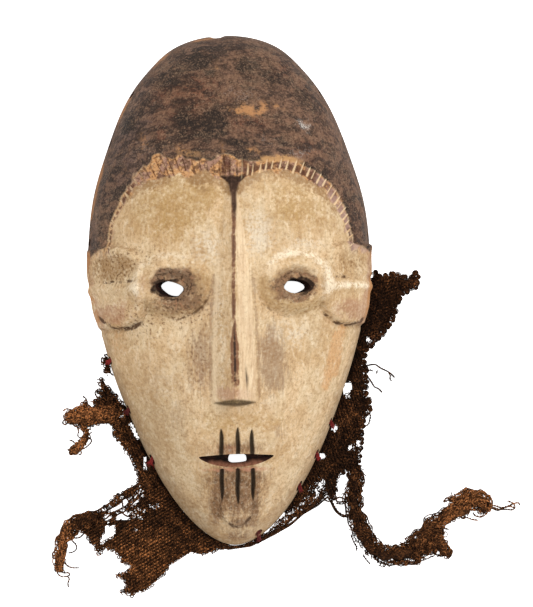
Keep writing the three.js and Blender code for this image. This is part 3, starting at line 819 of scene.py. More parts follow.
    # The ears
    ear = smoothstep(1.1, 0.98, ear_out(side, y))
    # Dirt and painted shade in the upper hollow of each ear, less on the right, and along the top of the
    # ear
    lobes = 1.3 * hill(side + 1, y - 12, 12, 7) + 0.3 * hill(side + 1, y + 11, 12, 6.5)
    top_line = bell(y - 22.5 + 0.02 * side ** 2, 1.6) * smoothstep(-16, -8, side) * smoothstep(12, 6, side)
    put("ear_dirt_and_shade", ear * lobes * (1 - 0.45 * (x > 0)) + 0.5 * top_line)
    nose_foot = hill(x, y + 55.5, 10, 3.2) * (y > -59)
    ear_rim = 0.8 * ear * smoothstep(0.93, 0.975, share) * (0.6 + 0.4 * (x > 0))
    low_lobe = ear * hill(side + 0.5, y + 12, 10, 6.5)
    put("rose", ear_rim + 0.7 * nose_foot + low_lobe + spotted(x, y, ROSE_SPOTS))
    # Painted shadow in the groove across each ear and under its lower lobe
    groove = bell(y - 4.2 - 0.6 * fine, 0.8) * smoothstep(-14, -9, side) * smoothstep(7, 3, side)
    lowest = np.where(at_left, -6, -2)
    under_ear_shadow = bell(y + 20 - 0.034 * (side - lowest) ** 2, 1.2) * smoothstep(-17, -13, side)
    thick_end = np.where(at_left, 1.0 + 0.5 * smoothstep(-3, -9, side), 0.9)
    put("ear_shadow_lines", np.where(at_left, 1.1, 0.6) * groove * (0.8 + fine)
        + under_ear_shadow * smoothstep(10, 6, side) * thick_end * (0.9 + fine))
    worn_edge = smoothstep(0.972, 0.99, share) * smoothstep(0.9, 2.5, z)
    ear_edge = smoothstep(-21, -14, y) * smoothstep(24, 18, y) * (0.7 + mottle)
    put("worn", worn_edge * (ear_edge + at_left * smoothstep(20, 40, y) * (0.5 + 1.6 * mottle)))

    # Stains, wear, pale paint, painted shade and painted highlights on the face and the cap
    for name, spots in STAIN_AND_LIGHT_SPOTS.items():
        put(name, EVERYWHERE.get(name, 0) + spotted(x, y, spots))
    streaks = np.minimum(
        segment_distance(x, y, (54, -25), (48, -52)), segment_distance(x, y, (57, -22), (53, -45)))
    put("orange", smoothstep(4.2, 0.5, streaks) + spotted(x, y, ORANGE_SPOTS))
    scratches = np.minimum(
        np.abs(np.hypot(x + 27, y - 38) - 13) + 40 * (y < 40 + 0.5 * (x + 30)),
        segment_distance(x, y, (-38, 37), (-18, 40)) + 0.3)
    put("scratch", smoothstep(0.7, 0.1, scratches + 0.3 * fine) * hill(x + 29, y - 42, 14, 12))
    rough = 0.5 + 2 * fine
    bare = spotted(x, y, CHIPS) * rough + (0.9 + 1.4 * fine) * hill(x - 13, y - 92.2, 13, 3.8)
    bare = bare + 0.6 * hill(x + 8, y - 116, 6, 4) * (rough + 0.2)
    put("bare", bare + 0.4 * hill(x + 6, y - 73, 4, 4) * rough + 0.5 * hill(x + 44, y - 76, 3, 7))
    put("dust", 0.75 * hill(x - 39.5, y - 83, 4, 4) * (rough + 0.2) + spotted(x, y, DUST_SPOTS))

    # The lines and the mouth
    # Painted shade down the gouged lines by the mouth
    put("gouge_shade", smoothstep(0.05, 0.4, cut_depth(x, y) * smoothstep(-70, -71, y)))
    # Painted shade in the crease round the lower end of the chin tongue
    tongue = np.hypot((x - 0.6) / 8, np.minimum(y + 113, 0) / 10.4)
    edge = bell(tongue - 1.08, 0.1) * smoothstep(-106, -116, y)
    put("chin_crease_shade", edge * (0.1 + 0.75 * smoothstep(-116, -121, y) * smoothstep(-8, 2, x) + fine))
    # Painted shade on the outer wall, darker towards the floor
    put("low_wall_shade", smoothstep(24, 6, z) * smoothstep(1.02, 0.99, share))
    add_layer(mask, "outside", outside)

    # How deep a place lies in a hole, and whether it lies out to the sides as the eye holes do: the cut
    # wood is painted darker there as painted shade
    wobble = np.zeros_like(x)
    face_z = dome_height(x, y) + carved_relief(x, y, share, wobble) * dome_normal(x, y)[:, 2]
    add_layer(mask, "depth", (face_z - z) / 6)
    add_layer(mask, "eye_side", smoothstep(12, 16, side_x))


paint_mask()


# Paints for the wood, each given as it looks in print
def paint(red, green, blue):
    linear = [c / 12.92 if c <= 0.04045 else ((c + 0.055) / 1.055) ** 2.4 for c in (red, green, blue)]
    return (*linear, 1)


def plug(tree, socket, value):
    if isinstance(value, bpy.types.NodeSocket):
        tree.links.new(value, socket)
    else:
        socket.default_value = value


def blend_paint(tree, amount, under, over):
    made = tree.nodes.new("ShaderNodeMix")
    made.data_type = "RGBA"
    plug(tree, made.inputs[0], amount)
    plug(tree, made.inputs[6], under)
    plug(tree, made.inputs[7], over)
    return made.outputs[2]


def sums(tree, operation, first, second):
    made = tree.nodes.new("ShaderNodeMath")
    made.operation = operation
    plug(tree, made.inputs[0], first)
    plug(tree, made.inputs[1], second)
    return made.outputs[0]


def product(tree, first, second):
    return sums(tree, "MULTIPLY", first, second)


def ramp(tree, value, low, high, least=0.0, most=1.0):
    made = tree.nodes.new("ShaderNodeMapRange")
    made.interpolation_type = "SMOOTHSTEP"
    for socket, number in zip(made.inputs[:5], (value, low, high, least, most)):
        plug(tree, socket, number)
    return made.outputs[0]


# Cloudy values about 0.5, with spots of a given size in millimetres
def cloud(tree, where, size, detail, stretch=(1, 1, 1), seed=0.0, swirl=0.0):
    placed = tree.nodes.new("ShaderNodeMapping")
    plug(tree, placed.inputs["Vector"], where)
    placed.inputs["Scale"].default_value = [1000 / size / factor for factor in stretch]
    placed.inputs["Location"].default_value = (seed, seed * 0.7, seed * 1.3)
    made = tree.nodes.new("ShaderNodeTexNoise")
    plug(tree, made.inputs["Vector"], placed.outputs[0])
    made.inputs["Scale"].default_value = 1
    made.inputs["Detail"].default_value = detail
    made.inputs["Roughness"].default_value = 0.6
    made.inputs["Distortion"].default_value = swirl
    return made.outputs["Fac"]


def layer(tree, name):
    made = tree.nodes.new("ShaderNodeAttribute")
    made.attribute_name = name
    return made.outputs["Fac"]


def new_effect(name, inputs, outputs):
    tree = bpy.data.node_groups.new(name, "ShaderNodeTree")
    for label, kind in inputs.items():
        tree.interface.new_socket(label, in_out="INPUT", socket_type=kind)
    for label, kind in outputs.items():
        tree.interface.new_socket(label, in_out="OUTPUT", socket_type=kind)
    return tree, tree.nodes.new("NodeGroupInput").outputs, tree.nodes.new("NodeGroupOutput").inputs


def use_effect(tree, effect, **values):
    made = tree.nodes.new("ShaderNodeGroup")
    made.node_tree = effect
    for label, value in values.items():
        plug(tree, made.inputs[label], value)
    return made.outputs


# Dirt or paint worn into the wood, and painted light and shade, in soft spots of all sizes: a smooth amount
# in, a broken one out
broken_into_spots, enters, leaves = new_effect(
    "broken_into_spots", {"Place": "NodeSocketVector", "Amount": "NodeSocketFloat"}, {"Amount": "NodeSocketFloat"})
spots = product(broken_into_spots, cloud(broken_into_spots, enters["Place"], 6.0, 4), 0.5)
small_spots = product(broken_into_spots, cloud(broken_into_spots, enters["Place"], 1.6, 3, seed=4), 0.5)
spots = sums(broken_into_spots, "ADD", spots, small_spots)
spots = ramp(broken_into_spots, spots, 0.36, 0.64)
kept = ramp(broken_into_spots, sums(broken_into_spots, "SUBTRACT", enters["Amount"], spots), -0.42, 0.42)
strength = ramp(broken_into_spots, enters["Amount"], 0, 0.8)
plug(broken_into_spots, leaves["Amount"], product(broken_into_spots, kept, strength))

# Grain of the wood, which runs up and down the mask
wood_grain, enters, leaves = new_effect(
    "wood_grain", {"Place": "NodeSocketVector"},
    {"Streak": "NodeSocketFloat", "Pores": "NodeSocketFloat", "Height": "NodeSocketFloat"})
streak = cloud(wood_grain, enters["Place"], 1.5, 3, (1, 14, 1))
pores = cloud(wood_grain, enters["Place"], 0.55, 2, (1, 6, 1), 3)
plug(wood_grain, leaves["Streak"], ramp(wood_grain, streak, 0.38, 0.66))
plug(wood_grain, leaves["Pores"], ramp(wood_grain, pores, 0.60, 0.72))
plug(wood_grain, leaves["Height"], sums(wood_grain, "SUBTRACT", streak, product(wood_grain, pores, 0.5)))


def start_material(material):
    material.use_nodes = True
    tree = material.node_tree
    shader = tree.nodes["Principled BSDF"]
    place = tree.nodes.new("ShaderNodeTexCoord").outputs["Object"]
    return tree, shader, place


# The grain stands out by a depth in metres
def finish_with_bump(tree, shader, height, depth):
    bump = tree.nodes.new("ShaderNodeBump")
    bump.inputs["Distance"].default_value = depth
    plug(tree, bump.inputs["Height"], height)
    plug(tree, shader.inputs["Normal"], bump.outputs["Normal"])


def build_carved_wood():
    tree, shader, place = start_material(carved_wood)
    drawn_out = tree.nodes.new("ShaderNodeMapping")
    plug(tree, drawn_out.inputs["Vector"], place)
    drawn_out.inputs["Scale"].default_value = (1.8, 0.2, 1)

    def broken(name, where=place):
        return use_effect(tree, broken_into_spots, Place=where, Amount=layer(tree, name))["Amount"]

    def times(first, second):
        return product(tree, first, second)

    def over(under, amount, share, colour):
        return blend_paint(tree, times(amount, share), under, paint(*colour))

    # Stains and painted light and shade one over another, each with its share and colour
    def stains_and_painted_light(under, stains):
        for name, share, colour in stains:
            under = over(under, broken(name), share, colour)
        return under

    # Spots of one cloudy value: where each sets in and where it is full, its share and its colour
    def mottled(under, cloudy, spots):
        for low, high, share, colour in spots:
            under = over(under, ramp(tree, cloudy, low, high), share, colour)
        return under

    grain_of = use_effect(tree, wood_grain, Place=place)
    broad = ramp(tree, cloud(tree, place, 26, 3), 0.38, 0.62)
    middle = cloud(tree, place, 7, 3, seed=2)
    fine = cloud(tree, place, 1.5, 4, seed=7)
    finest = cloud(tree, place, 0.8, 2, seed=9)
    pits = times(ramp(tree, fine, 0.54, 0.65), ramp(tree, layer(tree, "pits"), 0, 1, 0.1, 1.0))

    # The whitened face
    kaolin = ramp(tree, cloud(tree, place, 11, 4, (1, 2.2, 1), 5), 0.42, 0.62)
    face = blend_paint(tree, broad, paint(0.78, 0.65, 0.48), paint(0.86, 0.74, 0.58))
    face = over(face, kaolin, 0.45, (0.87, 0.79, 0.65))
    wisps = cloud(tree, place, 6, 5, (1, 1.6, 1), 3, swirl=1.5)
    face = mottled(face, wisps, [
        (0.50, 0.64, 0.42, (0.66, 0.52, 0.35)), (0.48, 0.36, 0.4, (0.93, 0.86, 0.74)),
    ])
    face = over(face, layer(tree, "shade"), 0.4, (0.60, 0.51, 0.38))
    # In this list the olive paint is painted shade on the lower side of the eye bosses
    face = stains_and_painted_light(face, [
        ("tan", 0.78, (0.69, 0.55, 0.34)), ("pale", 0.75, (0.90, 0.85, 0.76)),
        ("brow_dirt", 0.7, (0.56, 0.42, 0.27)), ("orange", 0.6, (0.82, 0.60, 0.38)),
        ("rose", 0.6, (0.66, 0.47, 0.38)), ("olive_boss_shade", 0.65, (0.65, 0.53, 0.35)),
        ("stain", 0.65, (0.52, 0.40, 0.28)),
    ])
    face = over(face, broken("streak", drawn_out.outputs[0]), 0.62, (0.51, 0.40, 0.32))
    face = over(face, layer(tree, "mouth_dirt"), 0.3, (0.52, 0.38, 0.26))
    face = over(face, broken("mouth_dirt", drawn_out.outputs[0]), 0.75, (0.42, 0.29, 0.20))
    dark_streaks = ramp(tree, cloud(tree, place, 1.6, 3, (1, 4, 1), 33), 0.5, 0.6)
    face = over(face, times(layer(tree, "mouth_dirt"), dark_streaks), 0.6, (0.26, 0.18, 0.12))
    # Dirt and painted shade in the ears, and painted highlights on the eye bosses, the ear ridges and the
    # nose
    face = stains_and_painted_light(face, [("ear_dirt_and_shade", 0.75, (0.56, 0.415, 0.24)), ("lightness_and_highlight", 0.85, (0.99, 0.93, 0.82))])
    face = mottled(face, fine, [
        (0.5, 0.72, 0.34, (0.60, 0.45, 0.30)), (0.5, 0.3, 0.22, (0.97, 0.91, 0.80)),
    ])
    face = mottled(face, finest, [(0.5, 0.75, 0.3, (0.52, 0.38, 0.25))])
    face = over(face, grain_of["Streak"], 0.22, (0.66, 0.52, 0.37))
    face = over(face, grain_of["Pores"], 0.3, (0.48, 0.35, 0.24))
    face = over(face, layer(tree, "scratch"), 0.6, (0.93, 0.84, 0.70))

    # The nose
    # Painted highlight on the nose's right side
    face = over(face, layer(tree, "nose_right_highlight"), 0.45, (0.97, 0.88, 0.74))
    on_nose = sums(tree, "MAXIMUM", layer(tree, "nose_right_highlight"), layer(tree, "nose_edge"))
    face = over(face, times(grain_of["Streak"], on_nose), 0.35, (0.70, 0.53, 0.38))
    face = over(face, layer(tree, "nose_edge"), 0.5, (0.95, 0.86, 0.72))
    # Painted shade along the foot of the nose
    face = over(face, broken("nose_side_shade"), 0.45, (0.52, 0.39, 0.28))
    face = over(face, pits, 0.75, (0.36, 0.24, 0.15))

    # Soot round the eyes, with dark and bare flakes in it
    face = over(face, layer(tree, "eye_soot"), 0.45, (0.55, 0.405, 0.31))
    face = over(face, broken("eye_soot"), 0.6, (0.38, 0.265, 0.20))
    for size, seed, low, high, share, colour in (
            (1.8, 21, 0.54, 0.62, 0.7, (0.20, 0.13, 0.09)),
            (2.2, 25, 0.58, 0.64, 0.5, (0.68, 0.50, 0.37))):
        flakes = ramp(tree, cloud(tree, place, size, 2, seed=seed), low, high)
        face = over(face, times(flakes, layer(tree, "eye_soot")), share, colour)
    # Painted shadow on the walls of the eye holes
    face = over(face, ramp(tree, layer(tree, "eye_hole_shadow"), 0.2, 1), 0.5, (0.16, 0.10, 0.07))
    # Painted shade in the creases under the eye bosses, in the ears' lines and round the chin tongue, and
    # the lips' pinkish tint with its painted highlight
    face = stains_and_painted_light(face, [
        ("eye_hole_shadow", 0.85, (0.11, 0.07, 0.05)), ("crease", 0.8, (0.32, 0.22, 0.13)),
        ("ear_shadow_lines", 0.9, (0.30, 0.20, 0.13)), ("lip_tint_and_highlight", 0.6, (0.76, 0.54, 0.43)),
        ("chin_crease_shade", 0.9, (0.30, 0.21, 0.14)),
    ])
    # The underside of the nose, painted dark with speckles as painted shade
    speckles = ramp(tree, finest, 0.45, 0.6)
    under = blend_paint(tree, speckles, paint(0.26, 0.20, 0.13), paint(0.44, 0.36, 0.24))
    face = blend_paint(tree, times(layer(tree, "nose_underside_shade"), 0.95), face, under)
    # Painted shade in the gouged lines
    face = over(face, layer(tree, "gouge_shade"), 0.93, (0.17, 0.13, 0.085))
    face = over(face, layer(tree, "crack"), 0.9, (0.20, 0.13, 0.08))
    face = stains_and_painted_light(face, [("stripe", 0.85, (0.44, 0.27, 0.19)), ("stripe_dark", 0.85, (0.15, 0.12, 0.11))])

    # The band cut under the cap, in bare wood
    reddish = ramp(tree, middle, 0.44, 0.56)
    notch = blend_paint(tree, reddish, paint(0.77, 0.57, 0.38), paint(0.63, 0.48, 0.41))
    notch = over(notch, ramp(tree, cloud(tree, place, 3, 3, seed=12), 0.5, 0.6), 0.75, (0.36, 0.24, 0.17))
    notch = mottled(notch, fine, [
        (0.46, 0.3, 0.7, (0.88, 0.74, 0.56)), (0.52, 0.66, 0.8, (0.28, 0.18, 0.13)),
    ])
    face = blend_paint(tree, times(layer(tree, "band"), 0.92), face, notch)
    face = stains_and_painted_light(face, [("band_dark", 0.85, (0.33, 0.20, 0.15)), ("bevel", 0.6, (0.70, 0.57, 0.52))])

    # The cap, rubbed dark
    rubbed = cloud(tree, place, 15, 5, (1.5, 0.9, 1), 11, swirl=1.2)
    dabs = cloud(tree, place, 5, 5, (1.7, 0.8, 1), 14, swirl=0.6)
    greenish = cloud(tree, place, 13, 4, (1.6, 1, 1), 31)
    cap = blend_paint(tree, broad, paint(0.31, 0.215, 0.165), paint(0.44, 0.33, 0.265))
    cap = mottled(cap, greenish, [(0.50, 0.58, 0.55, (0.28, 0.255, 0.20))])
    cap = over(cap, layer(tree, "lilac"), 0.65, (0.45, 0.365, 0.335))
    cap = over(cap, broken("red"), 0.8, (0.49, 0.30, 0.21))
    cap = mottled(cap, rubbed, [
        (0.51, 0.55, 0.7, (0.20, 0.145, 0.115)), (0.47, 0.43, 0.5, (0.51, 0.375, 0.285)),
    ])
    cap = mottled(cap, dabs, [
        (0.52, 0.59, 0.65, (0.16, 0.115, 0.09)), (0.48, 0.40, 0.45, (0.55, 0.41, 0.315)),
    ])
    cap = over(cap, broken("black"), 0.92, (0.11, 0.085, 0.07))
    cap = mottled(cap, fine, [(0.48, 0.64, 0.5, (0.15, 0.11, 0.085)), (0.46, 0.3, 0.4, (0.63, 0.49, 0.37))])
    speckled = times(ramp(tree, finest, 0.52, 0.68), ramp(tree, greenish, 0.42, 0.54, 0.3, 1))
    cap = over(cap, speckled, 0.42, (0.64, 0.52, 0.42))
    cap = mottled(cap, finest, [(0.46, 0.32, 0.35, (0.13, 0.09, 0.07))])
    cap = over(cap, grain_of["Streak"], 0.25, (0.18, 0.13, 0.10))
    cap = over(cap, broken("bare"), 0.75, (0.75, 0.54, 0.35))
    dusty = times(broken("dust"), ramp(tree, finest, 0.44, 0.58, 0.15, 1))
    cap = over(cap, dusty, 0.8, (0.82, 0.78, 0.74))

    # All of it together, with the worn edges and the raw wood of the hollow
    capped = sums(tree, "MAXIMUM", layer(tree, "cap"), layer(tree, "wedge"))
    whole = blend_paint(tree, capped, face, cap)
    whole = over(whole, layer(tree, "wedge"), 0.7, (0.19, 0.12, 0.09))
    whole = stains_and_painted_light(whole, [
        ("tan_edge", 0.8, (0.76, 0.58, 0.38)), ("tick_shade", 0.45, (0.36, 0.24, 0.18)),
    ])
    whole = over(whole, layer(tree, "tick"), 0.9, (0.93, 0.82, 0.66))
    # Worn edges, and painted shade low on the outer wall
    whole = stains_and_painted_light(whole, [("worn", 0.8, (0.72, 0.50, 0.30)), ("low_wall_shade", 0.3, (0.42, 0.30, 0.22))])
    raw = blend_paint(tree, grain_of["Streak"], paint(0.50, 0.37, 0.25), paint(0.36, 0.25, 0.17))
    raw = over(raw, ramp(tree, middle, 0.45, 0.65), 0.5, (0.24, 0.17, 0.12))
    whole = blend_paint(tree, layer(tree, "outside"), raw, whole)
    plug(tree, shader.inputs["Base Color"], whole)
    dull = blend_paint(tree, layer(tree, "cap"), (0.9, 0.9, 0.9, 1), (0.7, 0.7, 0.7, 1))
    plug(tree, shader.inputs["Roughness"], sums(tree, "ADD", dull, ramp(tree, fine, 0.3, 0.7, -0.08, 0.08)))
    shader.inputs["Specular IOR Level"].default_value = 0.22
    height = sums(tree, "ADD", times(grain_of["Height"], 0.6), times(fine, 0.9))
    finish_with_bump(tree, shader, height, 0.0004)


def build_cut_wood():
    tree, shader, place = start_material(cut_wood)
    grain_of = use_effect(tree, wood_grain, Place=place)
    bare = blend_paint(tree, grain_of["Streak"], paint(0.57, 0.38, 0.29), paint(0.45, 0.29, 0.21))
    patches = ramp(tree, cloud(tree, place, 3, 3), 0.42, 0.62)
    # Cut wood deeper in the holes, and in holes out to the sides such as the eyes, is painted darker as
    # painted shade
    deep = blend_paint(tree, patches, paint(0.20, 0.11, 0.08), paint(0.10, 0.06, 0.045))
    painted_shade_depth = sums(tree, "ADD", layer(tree, "depth"), product(tree, layer(tree, "eye_side"), 0.6))
    bare = blend_paint(tree, ramp(tree, painted_shade_depth, 0.1, 0.75), bare, deep)
    plug(tree, shader.inputs["Base Color"], bare)
    shader.inputs["Roughness"].default_value = 0.85
    shader.inputs["Specular IOR Level"].default_value = 0.2
    finish_with_bump(tree, shader, grain_of["Height"], 0.0003)


build_carved_wood()
build_cut_wood()
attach(mask, "root")
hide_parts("mask")

# Netting beard, left half
# What is left of a beard of looped plant fibre, sewn along the lower rim and lying on
# the surface. A torn flap and a wide corner stand out from it at the left, and the
# flap's end and a strip of the corner have rolled themselves up.
STITCH_WIDE = 1.8
ROW_APART = 1.6
YARN = 0.55
# The thin ground under the loops: its wall in metres, how far below them it lies, and its lowest
GROUND_WALL = 0.0004
GROUND_BELOW = 0.7
GROUND_REST = 0.25
# Lowest height of a yarn's middle, and the cloth's lowest and highest
YARN_REST = 0.35
CLOTH_LOW, CLOTH_HIGH = 0.85, 4.6
# Rows of loops: two corners of their area and the way the rows run
CORNER_ROWS = (-92, -163), (0, -90), math.radians(30)
STRIP_ROWS = (-66, -110), (-30, -55), math.radians(-66)
FLAP_ROWS = (-90, -84), (-55, -44), math.radians(-42)
RIGHT_ROWS = (24, -120), (75, -34), math.radians(-72)
TAB_ROWS = (64, -34), (101, 10), math.radians(20)
LEFT_OUTLINE = [
    (-69.3, -45.8), (-67.8, -47.9), (-64.6, -50.7), (-57.4, -58.8), (-53, -61), (-46, -70), (-40, -81),
    (-27, -105), (-14, -121), (2.6, -130), (-3.3, -135.6), (-8.1, -136.6), (-14.5, -139.7),
    (-18.7, -140.1), (-22.9, -138.5), (-28.3, -141.3), (-33.7, -144.6), (-37.5, -149.8), (-47.2, -157.6),
    (-55.2, -160.6), (-60.5, -157.8), (-58.3, -155.8), (-58.8, -153.1), (-62.4, -149.3), (-56.5, -146.8),
    (-55.4, -144.7), (-60.1, -142.2), (-62.7, -137.9), (-66.9, -135.2), (-70.6, -135.9), (-72.2, -137.7),
    (-76.4, -131.5), (-80.5, -125.6), (-82, -120.8), (-79.8, -116.1), (-71.3, -115.2), (-68.6, -112.6),
    (-65.4, -111.6), (-65.3, -109.5), (-61.5, -106.7), (-51.9, -101.3), (-50.8, -99.2), (-51.7, -93.3),
    (-57.3, -82.6), (-61.5, -77.8), (-63.5, -74.5), (-62.9, -71.4), (-65.5, -68.7), (-75.7, -70.3),
    (-81, -71), (-86.2, -68.8), (-88.3, -65.6), (-87.7, -63.7), (-80.8, -60.4), (-79.6, -58.3),
    (-77, -57.3), (-75.5, -60.5), (-72.8, -60), (-73.3, -56.8), (-70, -55.3), (-71, -52.1),
    (-68.4, -50.6), (-69.9, -48.4),
]
LEFT_GAPS = [
    [(-68.2, -123.8), (-63.5, -123.6), (-63.8, -126.5), (-65.2, -128.9), (-67.6, -129.6), (-70.5, -132.5),
     (-71, -131.1), (-69.9, -129), (-67.8, -125.9)],
    [(-60.5, -63), (-58, -63), (-58.3, -66.2), (-59.8, -65.8)],
    [(-54.1, -69.6), (-53.7, -69.7), (-50.4, -77.4), (-50.8, -77.2)],
    [(-47.5, -88), (-46.9, -88), (-46.2, -93.8), (-46.7, -93.6)],
    [(-53.9, -108.7), (-49.6, -104.6), (-48.4, -106.7), (-52.4, -110.6)],
    [(-55.6, -112.4), (-53.1, -109.8), (-50.8, -109.6), (-53.7, -113.2)],
    [(-60, -112.2), (-58.9, -109.2), (-56.4, -109), (-57.2, -112.5)],
    [(-66.3, -116.8), (-64.9, -114.4), (-60.1, -112.6), (-60.4, -115.1)],
    [(-62.5, -119.8), (-61, -116.6), (-57.7, -115.3), (-56.1, -117.9), (-56.8, -119.9)],
    [(-72.3, -115.2), (-69.6, -112.5), (-65.8, -111.4), (-67.3, -114.7)],
    [(-68.8, -119.4), (-67.9, -117.3), (-65.4, -117.3), (-66.1, -119.5)],
]
LEFT_STRANDS = [
    [(-78, -118.2), (-72.5, -115), (-67.5, -112.2), (-63.5, -109.6), (-58, -105.4), (-52, -102.2),
     (-48, -99)],
    [(-76, -119.4), (-70.5, -117.2), (-66.6, -114.4), (-62, -112.4), (-57.6, -108.4), (-53.8, -106.4),
     (-49.4, -101)],
    [(-74, -121), (-68, -119.4), (-64.8, -116.4), (-60.8, -114.6), (-57.4, -113), (-54.8, -109.8),
     (-51.6, -106.4)],
    [(-72, -121.6), (-65.2, -120.2), (-61.8, -117.2), (-58.2, -115.9), (-55.6, -113.4), (-52.4, -110.2),
     (-47.6, -105.6)],
    [(-70, -116.4), (-66.6, -116.8), (-63.4, -115.6), (-60.2, -115.6), (-57.4, -118.2), (-54.8, -118.6)],
    [(-60.4, -109.4), (-58.8, -111.2), (-59.2, -113.2), (-57.2, -114.2), (-55.2, -112.4), (-56.4, -109.2),
     (-58.8, -108.4)],
    [(-54.4, -106.6), (-52.8, -108.4), (-53.8, -110.2), (-50.6, -108.2), (-48.6, -104.6)],
    [(-56.6, -113.4), (-55, -111), (-52.6, -109.8), (-51, -107.8), (-50.6, -104.4), (-48.6, -102.2)],
]


def inside_outline(x, y, outline):
    within = np.zeros(np.shape(x), bool)
    for (ax, ay), (bx, by) in zip(outline, outline[1:] + outline[:1]):
        crosses = (ay > y) != (by > y)
        within ^= crosses & (x < ax + (y - ay) / (by - ay + 1e-12) * (bx - ax))
    return within


# How far a place lies outside the mask's rim
def rim_gap(x, y):
    x, y = np.asarray(x, float), np.asarray(y, float)
    return np.hypot(x, y - WIDEST_Y) * (1 - 1 / outward_share(x, y))


def in_cloth(x, y, outline, gaps, rim=0.5, margin=0.6):
    within = rim_gap(x, y) > rim
    for across, along in ((margin, 0), (-margin, 0), (0, margin), (0, -margin)):
        within &= inside_outline(x + across, y + along, outline)
        for gap in gaps:
            within &= ~inside_outline(x + across, y + along, gap)
    return within


# Moves places that would lie in the wood out to the rim
def clear_of_rim(x, y, least):
    short = np.clip(least - rim_gap(x, y), 0, 3)
    factor = 1 + short / np.hypot(x, y - WIDEST_Y)
    return x * factor, WIDEST_Y + (y - WIDEST_Y) * factor


def cloth_noise(x, y, size, seed):
    return grain(np.stack([x, y, np.full_like(x, seed)], axis=1), size, seed)


# Rows of interlocking loops over a rectangle. Each run is a list of u, v and height.
def looped_runs(low, high, turned, keep, seed, loose):
    draw = np.random.default_rng(seed)
    middle = (np.array(low) + np.array(high)) / 2
    half = np.hypot(*(np.array(high) - np.array(low))) / 2
    cos, sin = math.cos(turned), math.sin(turned)
    steps = turns_of(10)
    loop_u = 0.30 * STITCH_WIDE * np.sin(2 * steps) + STITCH_WIDE * steps / (2 * math.pi)
    loop_v = -0.62 * ROW_APART * np.cos(steps)
    loop_h = 0.3 * np.cos(2 * steps)
    columns = np.arange(-half, half, STITCH_WIDE)
    runs = []
    for number, row in enumerate(np.arange(-half, half, ROW_APART)):
        shifted = columns + (number % 2) * STITCH_WIDE / 2
        u = middle[0] + cos * (shifted + STITCH_WIDE / 2) - sin * row
        v = middle[1] + sin * (shifted + STITCH_WIDE / 2) + cos * row
        taken = keep(u, v) if len(u) else []
        run = []
        for column, take in zip(shifted, taken):
            if take:
                shake = draw.normal(0, loose, 3)
                at_u = column + loop_u + shake[0]
                at_v = row + loop_v * (1 + shake[1]) + shake[1] * 0.5
                across = middle[0] + cos * at_u - sin * at_v
                along = middle[1] + sin * at_u + cos * at_v
                run.append(np.stack([across, along, loop_h + 0.5 * shake[2]], axis=1))
            elif run:
                runs.append(np.concatenate(run))
                run = []
        if run:
            runs.append(np.concatenate(run))
    return runs


# Where the loops of two rows hook into each other, from -1 between them to 1
def hooked(x, y, low, high, turned):
    middle = (np.array(low) + np.array(high)) / 2
    half = np.hypot(*(np.array(high) - np.array(low))) / 2
    u = math.cos(turned) * (x - middle[0]) + math.sin(turned) * (y - middle[1]) + half
    v = -math.sin(turned) * (x - middle[0]) + math.cos(turned) * (y - middle[1]) + half
    return np.cos(2 * math.pi * (u / STITCH_WIDE - 0.5)) * np.cos(math.pi * (v / ROW_APART - 0.5))


# A yarn that sets out in a direction and curls as dry fibre does
def curl(start, aim, length, draw, tight):
    place = np.array(start, float)
    bend = draw.normal(0, tight)
    points = [place.copy()]
    for index in range(max(int(length / 0.5), 3)):
        bend = 0.86 * bend + draw.normal(0, tight * 0.42)
        aim += bend * 0.5
        place = place + np.array([math.cos(aim), math.sin(aim), 0]) * 0.5
        place[2] = max(place[2] * 0.94 + 0.03, YARN_REST)
        points.append(place.copy())
    return np.array(points)


# One yarn along a given line, as plies that wind round each other
def laid_yarn(corners, height, plies, spread):
    corners = np.array(corners, float)
    at = np.concatenate([[0], np.cumsum(np.hypot(*np.diff(corners, axis=0).T))])
    fine = np.arange(0, at[-1], 0.5)
    flat = np.stack([np.interp(fine, at, corners[:, 0]), np.interp(fine, at, corners[:, 1])], axis=1)
    for _ in range(4):
        flat[1:-1] = (flat[:-2] + 2 * flat[1:-1] + flat[2:]) / 4
    runs = []
    for ply in range(plies):
        turn = fine * 2.1 + ply * 2 * math.pi / plies + corners[0][0]
        wave = 0.3 * np.sin(fine * 0.9 + corners[0][1] * 3)
        runs.append(np.column_stack([flat[:, 0] + spread * np.cos(turn), flat[:, 1] + spread * np.sin(turn),
                                     np.maximum(height + wave + spread * np.cos(turn + 1), YARN_REST)]))
    return runs


# Walks round an outline: a place and the outward direction every few millimetres
def round_outline(outline, spacing, keep):
    corners = np.array(outline)
    for start, end in zip(corners, np.roll(corners, -1, axis=0)):
        along = end - start
        length = np.hypot(*along)
        outward = np.array([along[1], -along[0]]) / (length + 1e-9)
        trial = (start + end) / 2 + outward * 0.5
        if inside_outline(trial[:1], trial[1:], outline)[0]:
            outward = -outward
        for step in np.arange(0, length, spacing):
            place = start + along * step / length
            if rim_gap(*place[:, None])[0] > 2.2 and keep(*place):
                yield place, outward


# Loops that stand out of a selvage or a torn edge
def edge_loops(outline, spacing, seed, keep, size=1.05, inset=(0.5, 1.8)):
    draw = np.random.default_rng(seed)
    runs = []
    for place, outward in round_outline(outline, spacing, keep):
        radius = size * draw.uniform(0.7, 1.3)
        aim = math.atan2(outward[1], outward[0]) + draw.normal(0, 0.35)
        turns = aim + np.linspace(-2.6, 2.6, 11) + draw.normal(0, 0.2)
        middle = place - outward * draw.uniform(*inset)
        lift = draw.uniform(0.5, 2.0)
        runs.append(np.column_stack([middle[0] + radius * np.cos(turns), middle[1] + radius * np.sin(turns),
                                     lift + 0.3 * np.sin(turns * 2)]))
    return runs


